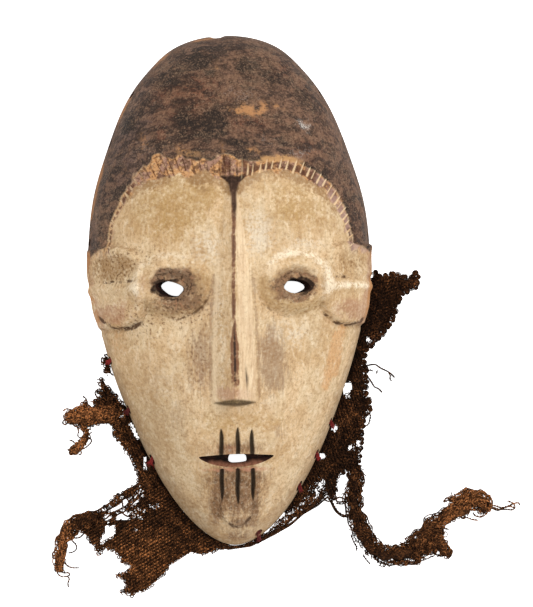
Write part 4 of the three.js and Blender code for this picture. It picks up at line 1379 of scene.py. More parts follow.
# Loose ends of yarn along an outline
def edge_ends(outline, spacing, seed, length, keep=lambda x, y: True):
    draw = np.random.default_rng(seed)
    runs = []
    for place, outward in round_outline(outline, spacing, keep):
        aim = math.atan2(outward[1], outward[0]) + draw.normal(0, 0.9)
        start = (*(place - outward * draw.uniform(0.6, 2)), draw.uniform(0.7, 2.2))
        runs.append(curl(start, aim, draw.uniform(*length), draw, 0.55))
    return runs


# Curled yarns on top of a cloth, which make it knobbly
def top_curls(places, seed, height, size=0.9):
    draw = np.random.default_rng(seed)
    runs = []
    for x, y in places:
        radius = size * draw.uniform(0.6, 1.2)
        turns = draw.uniform(0, 6) + np.linspace(0, draw.uniform(3, 6.5), 9)
        across = x + radius * np.cos(turns) + np.linspace(0, draw.normal(0, 1), 9)
        along = y + radius * np.sin(turns) + np.linspace(0, draw.normal(0, 1), 9)
        lift = height(across, along) + 0.35 + 0.3 * np.sin(turns + draw.uniform(0, 6))
        runs.append(np.column_stack([across, along, np.maximum(lift, YARN_REST)]))
    return runs


def scattered(low, high, count, seed, keep):
    places = np.random.default_rng(seed).uniform(low, high, (count, 2))
    return places[keep(places[:, 0], places[:, 1])]


def add_yarns(name, runs, width):
    line = bpy.data.curves.new(name, "CURVE")
    line.dimensions = "3D"
    line.bevel_depth = width / 2000
    line.bevel_resolution = 0
    line.use_fill_caps = True
    for run in runs:
        spline = line.splines.new("POLY")
        spline.points.add(len(run) - 1)
        spline.points.foreach_set("co", np.column_stack([in_metres(run), np.ones(len(run))]).ravel())
    made = bpy.data.objects.new(name, line)
    bpy.context.collection.objects.link(made)
    select_only(made)
    bpy.ops.object.convert(target="MESH")
    made = bpy.context.object
    bpy.ops.object.shade_smooth()
    return made


def thicken(piece):
    select_only(piece)
    wall = piece.modifiers.new("thread", "SOLIDIFY")
    wall.thickness = GROUND_WALL
    bpy.ops.object.modifier_apply(modifier=wall.name)
    bpy.ops.object.shade_smooth()


# The ground of the cloth under its loops: a grid cut along the outline, laid in folds
def lay_cloth(name, outline, gaps, height, thin=None, cell=0.9):
    corners = np.array(outline)
    low, high = corners.min(0) - cell, corners.max(0) + cell
    counts = np.ceil((high - low) / cell).astype(int)
    made = flat_grid(name, int(counts[0]), int(counts[1]))
    flat = vertex_places(made)
    x = low[0] + (flat[:, 0] + 1) / 2 * (high[0] - low[0])
    y = low[1] + (flat[:, 1] + 1) / 2 * (high[1] - low[1])
    kept = in_cloth(x, y, outline, gaps, rim=-1.6, margin=0.2)
    x, y = clear_of_rim(x, y, least=-0.45)
    if thin:
        kept &= np.random.default_rng(5).random(len(x)) > thin(x, y)
    z = np.maximum(height(x, y) - GROUND_BELOW, GROUND_REST)
    move_vertices(made, in_metres(np.stack([x, y, z], axis=1)))
    bpy.ops.object.mode_set(mode="EDIT")
    bpy.ops.mesh.select_mode(type="VERT")
    bpy.ops.mesh.select_all(action="DESELECT")
    shape = bmesh.from_edit_mesh(made.data)
    for vertex, keep in zip(shape.verts, kept):
        vertex.select_set(not keep)
    bmesh.update_edit_mesh(made.data)
    bpy.ops.mesh.delete(type="VERT")
    bpy.ops.mesh.select_all(action="SELECT")
    bpy.ops.mesh.delete_loose()
    bpy.ops.object.mode_set(mode="OBJECT")
    thicken(made)
    return made


# A strip of netting rolled up lengthwise and lying along a path
class Roll:
    def __init__(self, path, radii, flat, twist, lift=0.4):
        path = np.array(path, float)
        at = np.concatenate([[0], np.cumsum(np.hypot(*np.diff(path, axis=0).T))])
        self.length, self.flat, self.twist, self.lift = at[-1], flat, twist, lift
        self.fine = np.linspace(0, self.length, 200)
        soften = bell(np.arange(-9, 10), 4.5)
        soften /= soften.sum()
        self.line = [
            np.convolve(np.pad(np.interp(self.fine, at, path[:, axis]), 9, mode="edge"), soften, "valid")
            for axis in (0, 1)
        ]
        self.radii = np.array(radii, float)

    def radius(self, s):
        return np.interp(s, np.linspace(0, self.length, len(self.radii)), self.radii)

    def middle(self, s):
        return np.stack([np.interp(s, self.fine, axis) for axis in self.line], axis=-1)

    def wrap(self, s, around, out=0.0):
        middle = self.middle(s)
        along = self.middle(s + 0.5) - self.middle(s - 0.5)
        along /= np.linalg.norm(along, axis=1, keepdims=True) + 1e-9
        turn = around + self.twist * s
        radius = self.radius(s) * (1 + 0.4 * cloth_noise(s, turn * 1.2, 3.4, 14)) + out
        side = radius * np.sin(turn) + 0.8 * cloth_noise(s, 0 * s, 6, 15)
        lift = self.flat * (self.radius(s) + radius * np.cos(turn)) + self.lift
        return np.stack([middle[:, 0] - along[:, 1] * side, middle[:, 1] + along[:, 0] * side,
                         np.maximum(lift, YARN_REST)], axis=1)


def rolled_runs(roll, seed, turned, loose=0.3, share=0.9):
    widest = roll.radii.max() * math.pi
    lottery = np.random.default_rng(seed + 500)

    def keep(u, v):
        on_roll = (u > 0) & (u < roll.length) & (np.abs(v) < roll.radius(u) * 2.5)
        return on_roll & (lottery.random(len(u)) < share)

    runs = looped_runs((0, -widest), (roll.length, widest), turned, keep, seed, loose)
    return [roll.wrap(run[:, 0], run[:, 1] / roll.radius(run[:, 0]), run[:, 2]) for run in runs]


# Yarns pulled lengthwise over a roll, and short ends that stand off its sides
def stray_runs(roll, along, ends, seed, length, stand=0.8, tight=0.7):
    draw = np.random.default_rng(seed)
    runs = []
    for _ in range(along):
        start = draw.uniform(0, roll.length * 0.85)
        s = np.arange(start, min(start + draw.uniform(5, 18), roll.length), 0.6)
        if len(s) > 4:
            around = draw.uniform(-2.1, 2.1) + np.cumsum(draw.normal(0, 0.08, len(s)))
            bow = np.sin(np.linspace(0, math.pi, len(s))) * draw.uniform(0.1, stand) + 0.3
            runs.append(roll.wrap(s, around, bow))
    for _ in range(ends):
        s = np.array([draw.uniform(0, roll.length)])
        start = roll.wrap(s, np.array([draw.choice([-1.5, 1.5])]))[0]
        runs.append(curl(start, draw.uniform(0, 2 * math.pi), draw.uniform(*length), draw, tight))
        turns = draw.uniform(0, 6) + np.linspace(0, draw.uniform(3, 6), 9)
        middle = roll.wrap(s + draw.uniform(-3, 3), np.array([draw.uniform(-1.8, 1.8)]), 0.3)[0]
        size = draw.uniform(0.6, 1.5)
        knot = middle + size * np.stack([np.cos(turns), np.sin(turns), 0.4 * np.sin(turns * 1.7)], axis=1)
        knot[:, 2] = np.maximum(knot[:, 2], YARN_REST)
        runs.append(knot)
    return runs


# The rolled ground: a strip wound one and a half times round
def roll_cloth(name, roll):
    made = flat_grid(name, int(roll.length / 1.5) + 2, 22)
    flat = vertex_places(made)
    s = (flat[:, 0] + 1) / 2 * (roll.length - 1.2) + 0.6
    wound = (flat[:, 1] + 1) / 2
    inward = roll.radius(s) * 0.75 * (1 - wound) + 0.3
    move_vertices(made, in_metres(roll.wrap(s, wound * 3 * math.pi - math.pi, -inward)))
    thicken(made)
    return made


def join(name, pieces):
    select_only(*pieces)
    bpy.ops.object.join()
    pieces[0].name = name
    pieces[0].data.name = name
    return pieces[0]


fibre = bpy.data.materials.new("netting_yarn")
shaded_cloth_ground = bpy.data.materials.new("netting_ground_shaded")

# Twisted plant fibre: a dark colour and a light dry one, mixed by the tone, which is lighter on the yarns'
# ridges and darker between them as painted light and shade, and varies in patches and glints
fibre_look, enters, leaves = new_effect(
    "fibre_look", {"Place": "NodeSocketVector", "Tone": "NodeSocketFloat"},
    {"Colour": "NodeSocketColor", "Height": "NodeSocketFloat"})
strands = cloud(fibre_look, enters["Place"], 0.35, 2)
patches = cloud(fibre_look, enters["Place"], 3.2, 4, seed=3)
light_ply = ramp(fibre_look, strands, 0.35, 0.65)
deep = blend_paint(fibre_look, light_ply, paint(0.04, 0.017, 0.01), paint(0.085, 0.045, 0.028))
dry = blend_paint(fibre_look, light_ply, paint(0.56, 0.32, 0.165), paint(0.84, 0.56, 0.34))
tone_and_painted_light = product(fibre_look, enters["Tone"], ramp(fibre_look, patches, 0.34, 0.66, 0.35, 1.65))
glints = cloud(fibre_look, enters["Place"], 1.0, 2, seed=8)
tone_and_painted_light = product(fibre_look, tone_and_painted_light, ramp(fibre_look, glints, 0.42, 0.62, 0.3, 1.9))
plug(fibre_look, leaves["Colour"], blend_paint(fibre_look, tone_and_painted_light, deep, dry))
plug(fibre_look, leaves["Height"], strands)


def build_fibre(material, painted_shade):
    tree, shader, place = start_material(material)
    look = use_effect(tree, fibre_look, Place=place, Tone=layer(tree, "tone"))
    shaded_colour = blend_paint(tree, painted_shade, look["Colour"], paint(0.06, 0.03, 0.02))
    plug(tree, shader.inputs["Base Color"], shaded_colour)
    shader.inputs["Roughness"].default_value = 0.95
    shader.inputs["Specular IOR Level"].default_value = 0.1
    finish_with_bump(tree, shader, look["Height"], 0.00012)


# The ground under the loops is darkened towards near black, as painted shade between and under the yarns
build_fibre(fibre, 0.0)
build_fibre(shaded_cloth_ground, 0.7)


# How dry and light the fibre is, from 0 to 1, with painted shade near the mask's rim and on yarns that lie
# low
def fibre_tone(x, y, z):
    tone = 0.18 - 0.09 * smoothstep(20, 50, x)
    tone = tone + 0.6 * hill(x + 76, y + 63, 13, 4) + 0.25 * smoothstep(-74, -80, x) * (y > -90)
    tone = tone + 0.36 * hill(x + 46, y + 142, 22, 13) + 0.15 * hill(x + 62, y + 152, 8, 8)
    tone = tone + 0.26 * smoothstep(-84, -90, x) * (y < -100) - 0.08 * hill(x + 79, y + 120, 8, 5)
    tone = tone + 0.06 * smoothstep(60, 85, x) * (y < -100) + 0.32 * smoothstep(104, 120, x)
    tone = tone + 0.08 * hill(x - 60, y + 70, 9, 12) + 0.06 * hill(x - 90, y - 2, 12, 5)
    in_shade = (0.5 + 0.5 * smoothstep(0, 10, rim_gap(x, y))) * (0.4 + 0.85 * smoothstep(0.4, 4, z))
    return np.maximum(tone, 0.045) * in_shade


def on_flap(x, y):
    return (y > -84) & (x < -60.5 + (y + 60) * -0.25)


def finish_netting(piece, material):
    piece.data.materials.clear()
    piece.data.materials.append(material)
    x, y, z = in_millimetres(vertex_places(piece)).T
    # The tone is painted lighter where a yarn faces up and darker on its sides and underside, as painted
    # light and shade, and follows the pattern of the loops
    facing_up = np.empty(len(x) * 3, np.float32)
    piece.data.vertex_normals.foreach_get("vector", facing_up)
    ridge = smoothstep(-0.1, 1.0, facing_up.reshape(-1, 3)[:, 2])
    dots = np.where(y < -98, hooked(x, y, *CORNER_ROWS), hooked(x, y, *STRIP_ROWS))
    dots = np.where(on_flap(x, y), hooked(x, y, *FLAP_ROWS), dots)
    dots = np.where(x > 0, np.where(y > -34, hooked(x, y, *TAB_ROWS), hooked(x, y, *RIGHT_ROWS)), dots)
    add_layer(piece, "tone", fibre_tone(x, y, z) * (0.1 + 1.35 * ridge ** 1.5) * (1 + 0.6 * dots))
    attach(piece, "root")


# The cloth climbs to the holes that it is sewn to
def sewn_height(x, y):
    height = np.zeros_like(x)
    for angle in STITCH_ANGLES.values():
        at = rim_point(angle, 1.5, 0)
        height = np.maximum(height, 2.6 * hill(x - at[0], y - at[1], 4.5, 4.5))
    return height


# Lifted at the threads, and kept off the floor and from standing up too far
def settled(x, y, height):
    return np.clip(height + sewn_height(x, y), CLOTH_LOW, CLOTH_HIGH)


def left_height(x, y):
    gap = rim_gap(x, y)
    height = 1.2 + 1.1 * cloth_noise(x, y, 14, 2) + 0.7 * cloth_noise(x, y, 5, 8)
    band = smoothstep(-114, -104, y) * (x > -66)
    height = height + band * (1.7 * bell(gap - 3, 2.0) + 1.7 * bell(gap - 9, 2.4))
    height = height + 1.2 * bell(gap - 8, 3.5) * smoothstep(-104, -114, y)
    height = height + 1.3 * hill(x + 60, y + 134, 9, 4) + 1.0 * hill(x + 50, y + 126, 14, 2)
    return settled(x, y, height)


def drape(runs, height, slack=0.4):
    for run in runs:
        run[:, 2] += height(run[:, 0], run[:, 1])
        run[:, 0] += slack * cloth_noise(run[:, 0], run[:, 1], 6, 21)
        run[:, 1] += slack * cloth_noise(run[:, 1], run[:, 0], 6, 27)
        run[:, 0], run[:, 1] = clear_of_rim(run[:, 0], run[:, 1], 0.3)
        run[:, 2] = np.maximum(run[:, 2], YARN_REST)
    return runs


def left_part(chosen):
    return lambda x, y: in_cloth(x, y, LEFT_OUTLINE, LEFT_GAPS) & chosen(x, y)


left_runs = looped_runs(*CORNER_ROWS, left_part(lambda x, y: y < -98), 3, 0.1)
left_runs += looped_runs(*STRIP_ROWS, left_part(lambda x, y: (y >= -98) & ~on_flap(x, y)), 4, 0.25)
left_runs += looped_runs(*FLAP_ROWS, left_part(on_flap), 5, 0.3)
drape(left_runs, left_height)
upper_places = scattered((-90, -116), (-30, -45), 260, 41, left_part(lambda x, y: True))
lower_places = scattered((-85, -140), (-4, -112), 260, 42, left_part(lambda x, y: rim_gap(x, y) < 8))
left_runs += top_curls(upper_places, 6, left_height)
left_runs += top_curls(lower_places, 7, left_height)
left_runs += edge_loops(LEFT_OUTLINE, 2.3, 8, lambda x, y: y > -100 or x < -55)
left_runs += edge_loops(LEFT_OUTLINE, 2.9, 28, lambda x, y: y > -100 or x < -53, 0.7, (-0.2, 0.8))
left_runs += edge_ends(LEFT_OUTLINE, 4.5, 9, (1, 3), lambda x, y: y > -100 or x < -53)
for corners in LEFT_STRANDS:
    left_runs += laid_yarn(corners, 1.2, 3, 0.3)
left_yarns = add_yarns("beard_loops_left", left_runs, YARN)


def openwork(x, y):
    return 0.12 * hill(x + 56, y + 115, 11, 8)


LEFT_ROLL = Roll([(-72, -119.2), (-78, -119.8), (-83.3, -121.4), (-88.4, -125.6), (-91.4, -130.8),
                  (-92.3, -136), (-94, -141), (-94.1, -147)],
                 [2.4, 3.9, 4.1, 3.5, 2.9, 2.6, 2.6, 1.6], flat=0.75, twist=0.03)
FLAP_ROLL = Roll([(-57.5, -62.8), (-63.9, -65), (-70.2, -65.4), (-75.5, -64.6), (-80.8, -64.6),
                  (-88, -66.4)],
                 [1.4, 3.0, 3.6, 3.6, 3.4, 2.0], flat=0.75, twist=0.02, lift=0.8)
HANGING_ROLL = Roll([(-79, -67), (-77.5, -72.1), (-77.1, -74.8), (-78.2, -78), (-80.6, -80.6),
                     (-83.8, -82.1), (-87.2, -83.9)],
                    [2.2, 1.5, 1.2, 1.3, 1.7, 1.9, 1.2], flat=0.7, twist=0.05)
LEFT_ENDS = [
    [(-94.6, -144), (-94, -148), (-91.5, -149.6), (-88.8, -149), (-87.6, -150.6), (-88.8, -152.6),
     (-88.4, -155)],
    [(-93, -146), (-90.6, -147.6), (-88.2, -147), (-87.2, -148.6), (-89.6, -149.4)],
    [(-90.8, -141.4), (-88.4, -144), (-86, -144.8), (-82.4, -144.9)],
    [(-86, -130.6), (-84, -132.4), (-83.4, -134.8), (-85.4, -136.6), (-88.4, -137)],
    [(-87, -128.6), (-84.4, -129.2), (-81.8, -129), (-80, -127), (-78, -125.6)],
    [(-82.2, -70.6), (-81.4, -73), (-82.2, -75.6), (-80.6, -76.6), (-79, -76.4)],
    [(-86.4, -77.4), (-84.2, -78.2), (-83.2, -80), (-82, -81)],
    [(-76.8, -76), (-74.6, -77.4), (-74.8, -79), (-77.4, -81.4), (-79.6, -82.6)],
    [(-81.6, -82), (-80, -83.8), (-80.4, -85.6), (-82, -85.2)],
    [(-78.4, -59.8), (-76.4, -57.8), (-77.6, -55.4), (-79, -54.6)],
    [(-84, -62), (-88, -60.8), (-89.6, -62.4)],
    [(-86, -66), (-89.4, -67), (-90, -68.8), (-87.6, -69.6)],
    [(-71, -56.2), (-72.8, -52.8), (-70.8, -50.6), (-68, -51.6)],
    [(-66.6, -50.6), (-68.4, -47.8), (-70, -45.4)],
    [(-66.8, -49.4), (-68.4, -46.4), (-68.6, -44.6)],
]
# Each roll with its count of yarns along it and of loose ends
LEFT_ROLLED = [(LEFT_ROLL, 40, 24), (FLAP_ROLL, 22, 30), (HANGING_ROLL, 18, 24)]
roll_runs = []
for number, (roll, along, ends) in enumerate(LEFT_ROLLED):
    roll_runs += rolled_runs(roll, 31 + number, 0.5 + 0.2 * number)
    roll_runs += stray_runs(roll, along, ends, 51 + number, (1, 3.2))
for corners in LEFT_ENDS:
    roll_runs += laid_yarn(corners, 0.9, 2, 0.2)
roll_yarns = add_yarns("beard_loops_rolled", roll_runs, YARN)

grounds = [lay_cloth("left_ground", LEFT_OUTLINE, LEFT_GAPS, left_height, openwork)]
grounds += [roll_cloth("rolled_ground", roll) for roll, *_ in LEFT_ROLLED]
left_cloth = join("beard_cloth_left", grounds)
finish_netting(left_cloth, shaded_cloth_ground)
finish_netting(left_yarns, fibre)
finish_netting(roll_yarns, fibre)
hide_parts("beard_net")

# Netting beard, right half
# The same netting on the other side: a tab that stands out beside the ear, a narrow
# band down the rim and a wider piece with holes. From it a ravelled strand runs out,
# knots itself up and ends in a few twisted yarns. Loose cords run on under the chin.
RIGHT_OUTLINE = [
    (75.4, 5.9), (77.3, 7.7), (79.9, 5), (82.8, 6), (86.6, 6.7), (89.2, 5.9), (92.9, 5), (94.4, 2.9),
    (97.1, 4.4), (98.9, 7.2), (100, 4.9), (98.9, 1.7), (98.6, -0.4), (96, -0.3), (93.8, -2.7), (91.6, -4),
    (89.2, -8.2), (87.3, -10.2), (87.2, -13.4), (85.8, -17.6), (83.3, -21.3), (80.1, -24.9),
    (76.6, -28.1), (74.1, -31.2), (71.4, -33.3), (70.3, -36.9), (69.7, -40.6), (70.9, -44.4),
    (70.6, -48.1), (71.6, -50.2), (70.5, -53.4), (70.7, -57.1), (72.5, -60.8), (73.2, -65.1),
    (69.9, -68.2), (68.2, -77.7), (68.3, -82.5), (67.2, -86.7), (66.5, -96.3), (68, -100.5),
    (64.2, -104.2), (61, -102), (60.4, -96.4), (55.8, -100.3), (54.6, -104), (54.8, -107.2),
    (53.4, -111.4), (51.3, -112.4), (49.2, -109.2), (45.1, -103), (41.9, -103.7), (39.2, -106.8),
    (39.7, -109), (34.8, -113.6), (30, -117.5), (26.7, -119.6), (24.2, -114.5), (35.2, -96.1),
    (46.2, -75.2), (56, -51.5), (64, -22.5), (67.5, -6.7), (71.5, 3.5),
]
RIGHT_GAPS = [
    [(59.2, -54.8), (60.7, -51.6), (63.2, -50), (63, -53.2), (61.6, -55.1), (62.1, -57.8), (60.6, -57.9)],
    [(51.9, -74.6), (53.6, -72.4), (55.1, -74.8), (53.4, -75.8)],
    [(45.2, -90.2), (46.9, -87.2), (48.5, -88.8), (46.8, -90.4)],
    [(44.7, -103.2), (45.7, -100.6), (47.2, -101), (47.2, -103.8), (45.8, -104)],
    [(61.2, -86), (62, -84.2), (64, -83.8), (63.6, -85.5)],
    [(65.3, -83.2), (66.4, -80.9), (67.4, -81.5), (66.8, -83.9)],
    [(65.2, -103.1), (66.9, -100.6), (67.7, -104.2), (65.6, -106.6)],
    [(71.9, -27.2), (74.9, -28.2), (73.6, -30.3)],
]


def right_height(x, y):
    gap = rim_gap(x, y)
    height = 1.3 + 1.1 * cloth_noise(x, y, 12, 31) + 0.9 * cloth_noise(x, y, 4.5, 35)
    height = height + 1.1 * bell(gap - 5, 4) * smoothstep(-20, -36, y)
    return settled(x, y, height)


def right_part(chosen):
    return lambda x, y: in_cloth(x, y, RIGHT_OUTLINE, RIGHT_GAPS) & chosen(x, y)


def on_tab(x, y):
    return y > -34


right_runs = looped_runs(*RIGHT_ROWS, right_part(lambda x, y: ~on_tab(x, y)), 13, 0.25)
right_runs += looped_runs(*TAB_ROWS, right_part(on_tab), 14, 0.25)
drape(right_runs, right_height)
on_cloth = right_part(lambda x, y: True)
right_runs += top_curls(scattered((24, -120), (75, -30), 450, 43, on_cloth), 16, right_height)
right_runs += top_curls(scattered((64, -34), (101, 10), 300, 44, on_cloth), 17, right_height)
right_runs += edge_loops(RIGHT_OUTLINE, 2.3, 18, lambda x, y: x > 75 or y < -100)
for size in (1.25, 0.75, 0.35):
    right_runs += edge_loops(RIGHT_OUTLINE, 2.9, 26, lambda x, y: x > 66 and y > -62, size, (-0.5, 0.1))
    right_runs += edge_loops(RIGHT_OUTLINE, 2.8, 19, lambda x, y: y > -100, size * 0.8, (-0.2, 0.4))
right_runs += edge_ends(RIGHT_OUTLINE, 2.6, 20, (0.8, 2.4))
CHIN_ROLL = Roll([(48.5, -106.5), (41, -112.2), (36, -114.8), (30.7, -119), (25.6, -122.6),
                  (20.4, -126.2), (15, -130.2), (9, -132.4), (3, -134.3), (-3, -135), (-8, -134.2),
                  (-13, -132.6)],
                 [1.2, 2.3, 2.6, 2.3, 2.1, 1.6, 1.1, 0.9, 0.9, 1.0, 1.1, 1.1], flat=0.7, twist=0.05)
chin_runs = rolled_runs(CHIN_ROLL, 61, 0.9, 0.3, 0.8) + stray_runs(CHIN_ROLL, 26, 8, 62, (0.8, 2))
right_runs += drape(chin_runs, lambda x, y: 0 * x, 0)
OPEN_PATCH = [(32, -110.5), (37, -105), (38.5, -96), (42, -93.5), (47, -94), (49, -101), (46, -107),
              (40, -110)]
open_places = scattered((30, -112), (50, -92), 260, 46, lambda x, y: inside_outline(x, y, OPEN_PATCH))
open_runs = top_curls(open_places, 47, lambda x, y: 0 * x + 1, 1.1)
right_runs += drape(open_runs, lambda x, y: 0 * x)
RIGHT_STRANDS = [
    [(48.7, -109.1), (44.4, -113.6), (37.4, -117.7), (30.4, -123.6), (22.3, -128), (15.9, -131.5),
     (11.6, -134.4)],
    [(46.6, -107), (43.9, -112.2), (37.9, -116.4), (31.5, -120.5), (27.2, -124.6), (21.8, -127.4)],
    [(48.2, -108.1), (43.3, -114.3), (35.2, -119.5), (29.8, -124.1), (21.3, -129.1), (14.3, -132.9)],
    [(49.6, -110.4), (43.8, -115.1), (36.2, -119.2), (29.4, -125), (20.8, -129.6), (8, -135.6), (-4, -137)],
    [(44.6, -103.2), (41.8, -106.9), (43.4, -110.1), (39.7, -110.6), (41.2, -113.2), (37, -113.2),
     (37.9, -116.4), (33.7, -116.3), (34.2, -119.5), (30.5, -118.9), (29.9, -123.1)],
    [(42.6, -103.4), (40.2, -108.4), (41.6, -111.6), (38.4, -112), (38.8, -115), (35, -115.2),
     (33.8, -118.8)],
    [(16, -131.2), (10, -134.4), (4.2, -136), (-2.7, -136.6), (-9, -136.4)],
    [(12, -133), (4.2, -135.7), (-2.7, -136.2), (-8, -137)],
    [(49.7, -110.8), (51.5, -114.5), (53.3, -118.3), (55.9, -120.4), (57.7, -121.6), (59.1, -120),
     (58.6, -115.7), (58.4, -112), (56.1, -110.9), (54, -111.1), (53.7, -113), (55.5, -113.5),
     (58.4, -113.1)],
    [(51.3, -111.9), (52.8, -115.6), (54.6, -118.5), (57, -120.2), (59.1, -120.5)],
    [(50.4, -111.4), (52.2, -115.9), (54.4, -119.3), (57, -121.3), (60, -121.2)],
    [(53.9, -114), (56.5, -114.6), (59.2, -113.6), (61.2, -112.4)],
    [(58.4, -118.4), (61.5, -118.6), (61.4, -121), (59.4, -120.6)],
    [(46.4, -109.6), (48, -112.4), (50.6, -113.2)],
    [(70.8, -63.5), (72.6, -65.6), (73.1, -68.8), (72, -72.8), (69.4, -74)],
    [(69.8, -41.8), (73.4, -41.2), (76.1, -40.8), (78.7, -42.9), (82.3, -44.6), (84.4, -46), (86.5, -48.4)],
    [(83.1, -45.4), (84.4, -47.3), (83.6, -48.9), (84.9, -50.2)],
    [(69.9, -44.2), (72.2, -47.6), (74, -50.3), (75.3, -53), (77.7, -53.8), (79.5, -56)],
    [(71.2, -44.4), (73.3, -43.6), (74.9, -44.7)],
    [(76.7, -45.8), (77, -44.2)],
    [(61.8, -87), (63.4, -84.8), (62.8, -83)],
    [(63.6, -86), (64.6, -84.2), (64.4, -82)],
    [(65.6, -98), (67.8, -101.6), (67.4, -105.4), (65.4, -107.8)],
    [(64.6, -98), (66, -101.8), (66.4, -105), (64.4, -107.6)],
]
for corners in RIGHT_STRANDS:
    right_runs += laid_yarn(corners, 1.3, 2 + (len(corners) > 5), 0.28)
right_yarns = add_yarns("beard_loops_right", right_runs, YARN)

STRAND = Roll([(65.3, -96), (63.9, -104.2), (62.9, -110.5), (62.9, -115.3), (64.4, -121.1), (65.3, -127),
               (67.3, -132.6), (71.4, -138.2), (77.2, -141.8), (85.1, -142.4), (92.1, -140.6),
               (98.5, -138.7), (107, -137.6)],
              [3.0, 3.4, 4.3, 3.2, 4.4, 4.4, 4.6, 4.3, 3.9, 4.4, 5.0, 5.0, 3.4], flat=0.6, twist=0.05)
KNOT = Roll([(89.4, -140.7), (93.7, -138.6), (98.5, -135.4), (104.4, -133), (110, -134.8)],
            [2.5, 5.4, 6.6, 7.2, 4.6], flat=0.5, twist=0.06, lift=1.0)
KNOT_ARM = Roll([(99.4, -131.4), (104, -127.2), (109.4, -123.6), (115.3, -121.1), (121.2, -118),
                 (126.4, -115.9)],
                [3.6, 4.3, 3.7, 3.9, 4.4, 3.6], flat=0.6, twist=0.08, lift=0.8)
LUMP = Roll([(113, -113.4), (119.7, -113), (125, -112.9), (129.2, -114.2), (132.6, -117.4), (133.8, -121)],
            [1.5, 2.8, 4.6, 4.8, 3.8, 2.2], flat=0.6, twist=0.1, lift=0.6)
TUFT = Roll([(106, -133.5), (108.6, -137.6), (111, -141.2), (113.6, -144.2)],
            [3.6, 3.2, 2.4, 1.3], flat=0.6, twist=0.1, lift=0.6)
RIGHT_ENDS = [
    [(131.4, -116.7), (135.5, -117.4), (138.1, -118.5), (140.7, -119.4), (144.7, -119.3), (147.6, -119.8),
     (149, -118.3), (148.1, -116.3), (144.8, -114.9)],
    [(131.3, -118.3), (136, -116.9), (139.2, -117.4), (141.3, -118.5), (144, -118), (146.6, -117),
     (148.8, -116), (150.7, -115.7), (151.7, -117.4)],
    [(132, -117.4), (136, -118.2), (139.4, -119.9), (142.6, -118.6), (146, -117.6), (148.6, -118.6)],
    [(119.5, -121.7), (120, -123.3), (121.6, -124.1), (122.1, -122.6), (125.3, -124.1), (128.7, -124.7)],
    [(126.4, -120.8), (127.2, -122.2), (130.6, -123.3), (133.8, -121.2)],
    [(103, -139.6), (106.8, -142.6), (110.6, -142.8), (112.6, -140.4), (110, -137.8)],
    [(108.6, -139), (111.4, -139.8), (115, -140.2)],
    [(104.6, -141.6), (109, -143.6), (113, -141.4)],
    [(107.6, -127.4), (111.4, -128.8), (113.6, -129.2)],
    [(114, -113.6), (110.4, -115), (112.4, -112.2), (116, -113.8)],
    [(113.2, -118), (115.6, -115.4), (118.6, -113.2)],
    [(118.4, -110.6), (124, -108.6), (129.4, -109), (131.6, -112)],
    [(128.6, -111), (132.4, -112.6), (134, -116), (132.4, -119)],
    [(66.6, -119), (69.4, -123.6), (70.2, -127.4)],
    [(71, -127.4), (74.2, -131.6), (75.2, -134.6), (74, -136.4)],
    [(59.6, -120), (59.8, -124.6), (61.8, -127.8), (62.4, -131.6)],
    [(61.4, -131), (62.8, -135), (64.4, -137.4), (64, -139.4)],
    [(67.4, -141.6), (70, -145.4), (71.4, -146.6)],
    [(76.6, -145.4), (81, -147.6), (86, -146.8), (90.4, -145)],
    [(76, -137), (79.6, -136.6), (83.4, -137.6), (84.2, -140)],
    [(87.6, -137), (90.4, -135), (92.4, -135.4)],
    [(93.8, -131.8), (95.8, -129), (97.8, -130), (97.2, -132.6)],
]
strand_runs = []
ROLLED = [(STRAND, 70, 70), (KNOT, 46, 36), (KNOT_ARM, 40, 16), (LUMP, 40, 16), (TUFT, 14, 16)]
for number, (roll, along, ends) in enumerate(ROLLED):
    strand_runs += rolled_runs(roll, 71 + number, 0.9, 0.45, 0.5)
    strand_runs += stray_runs(roll, along, ends, 81 + number, (1.2, 4.5), stand=1.8, tight=0.8)
for corners in RIGHT_ENDS:
    strand_runs += laid_yarn(corners, 1.2, 2, 0.3)
strand_yarns = add_yarns("beard_strand", strand_runs, YARN)

grounds = [lay_cloth("right_ground", RIGHT_OUTLINE, RIGHT_GAPS, right_height)]
grounds += [roll_cloth("rolled_ground", roll) for roll, *_ in ROLLED]
right_cloth = join("beard_cloth_right", grounds)
finish_netting(right_cloth, shaded_cloth_ground)
finish_netting(right_yarns, fibre)
finish_netting(strand_yarns, fibre)
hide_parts("beard_net")

# Scrap of netting
# A crumpled rest of the same netting, left alone under its thread at the left rim. It
# is torn off all round, with a few yarns pulled out of it.
SCRAP_OUTLINE = [(-67.6, -34.6), (-64.4, -34), (-63, -37.4), (-64.2, -39.6), (-63.6, -42.2),
                 (-66.2, -42.4), (-68, -41.8), (-66.8, -38.8), (-68.8, -37.2)]
SCRAP_STRANDS = [
    [(-66.4, -35.4), (-68.4, -34.2), (-69, -36.4), (-67.6, -37.8), (-65.8, -37)],
    [(-66, -34.6), (-67.6, -33), (-65.6, -32.6), (-64.4, -34.4), (-65.2, -36)],
    [(-65, -38), (-66.8, -40.4), (-68, -42.2), (-66, -42.6), (-64.6, -41.4), (-64.2, -38.8)],
    [(-64.8, -41), (-63.6, -43.2), (-62.6, -44.2), (-62.2, -43)],
    [(-66.8, -39.6), (-65.4, -41.2), (-66.4, -42)],
]


def scrap_height(x, y):
    return settled(x, y, 1.6 + 0.9 * cloth_noise(x, y, 3, 51))


def in_scrap(x, y):
    return in_cloth(x, y, SCRAP_OUTLINE, [])


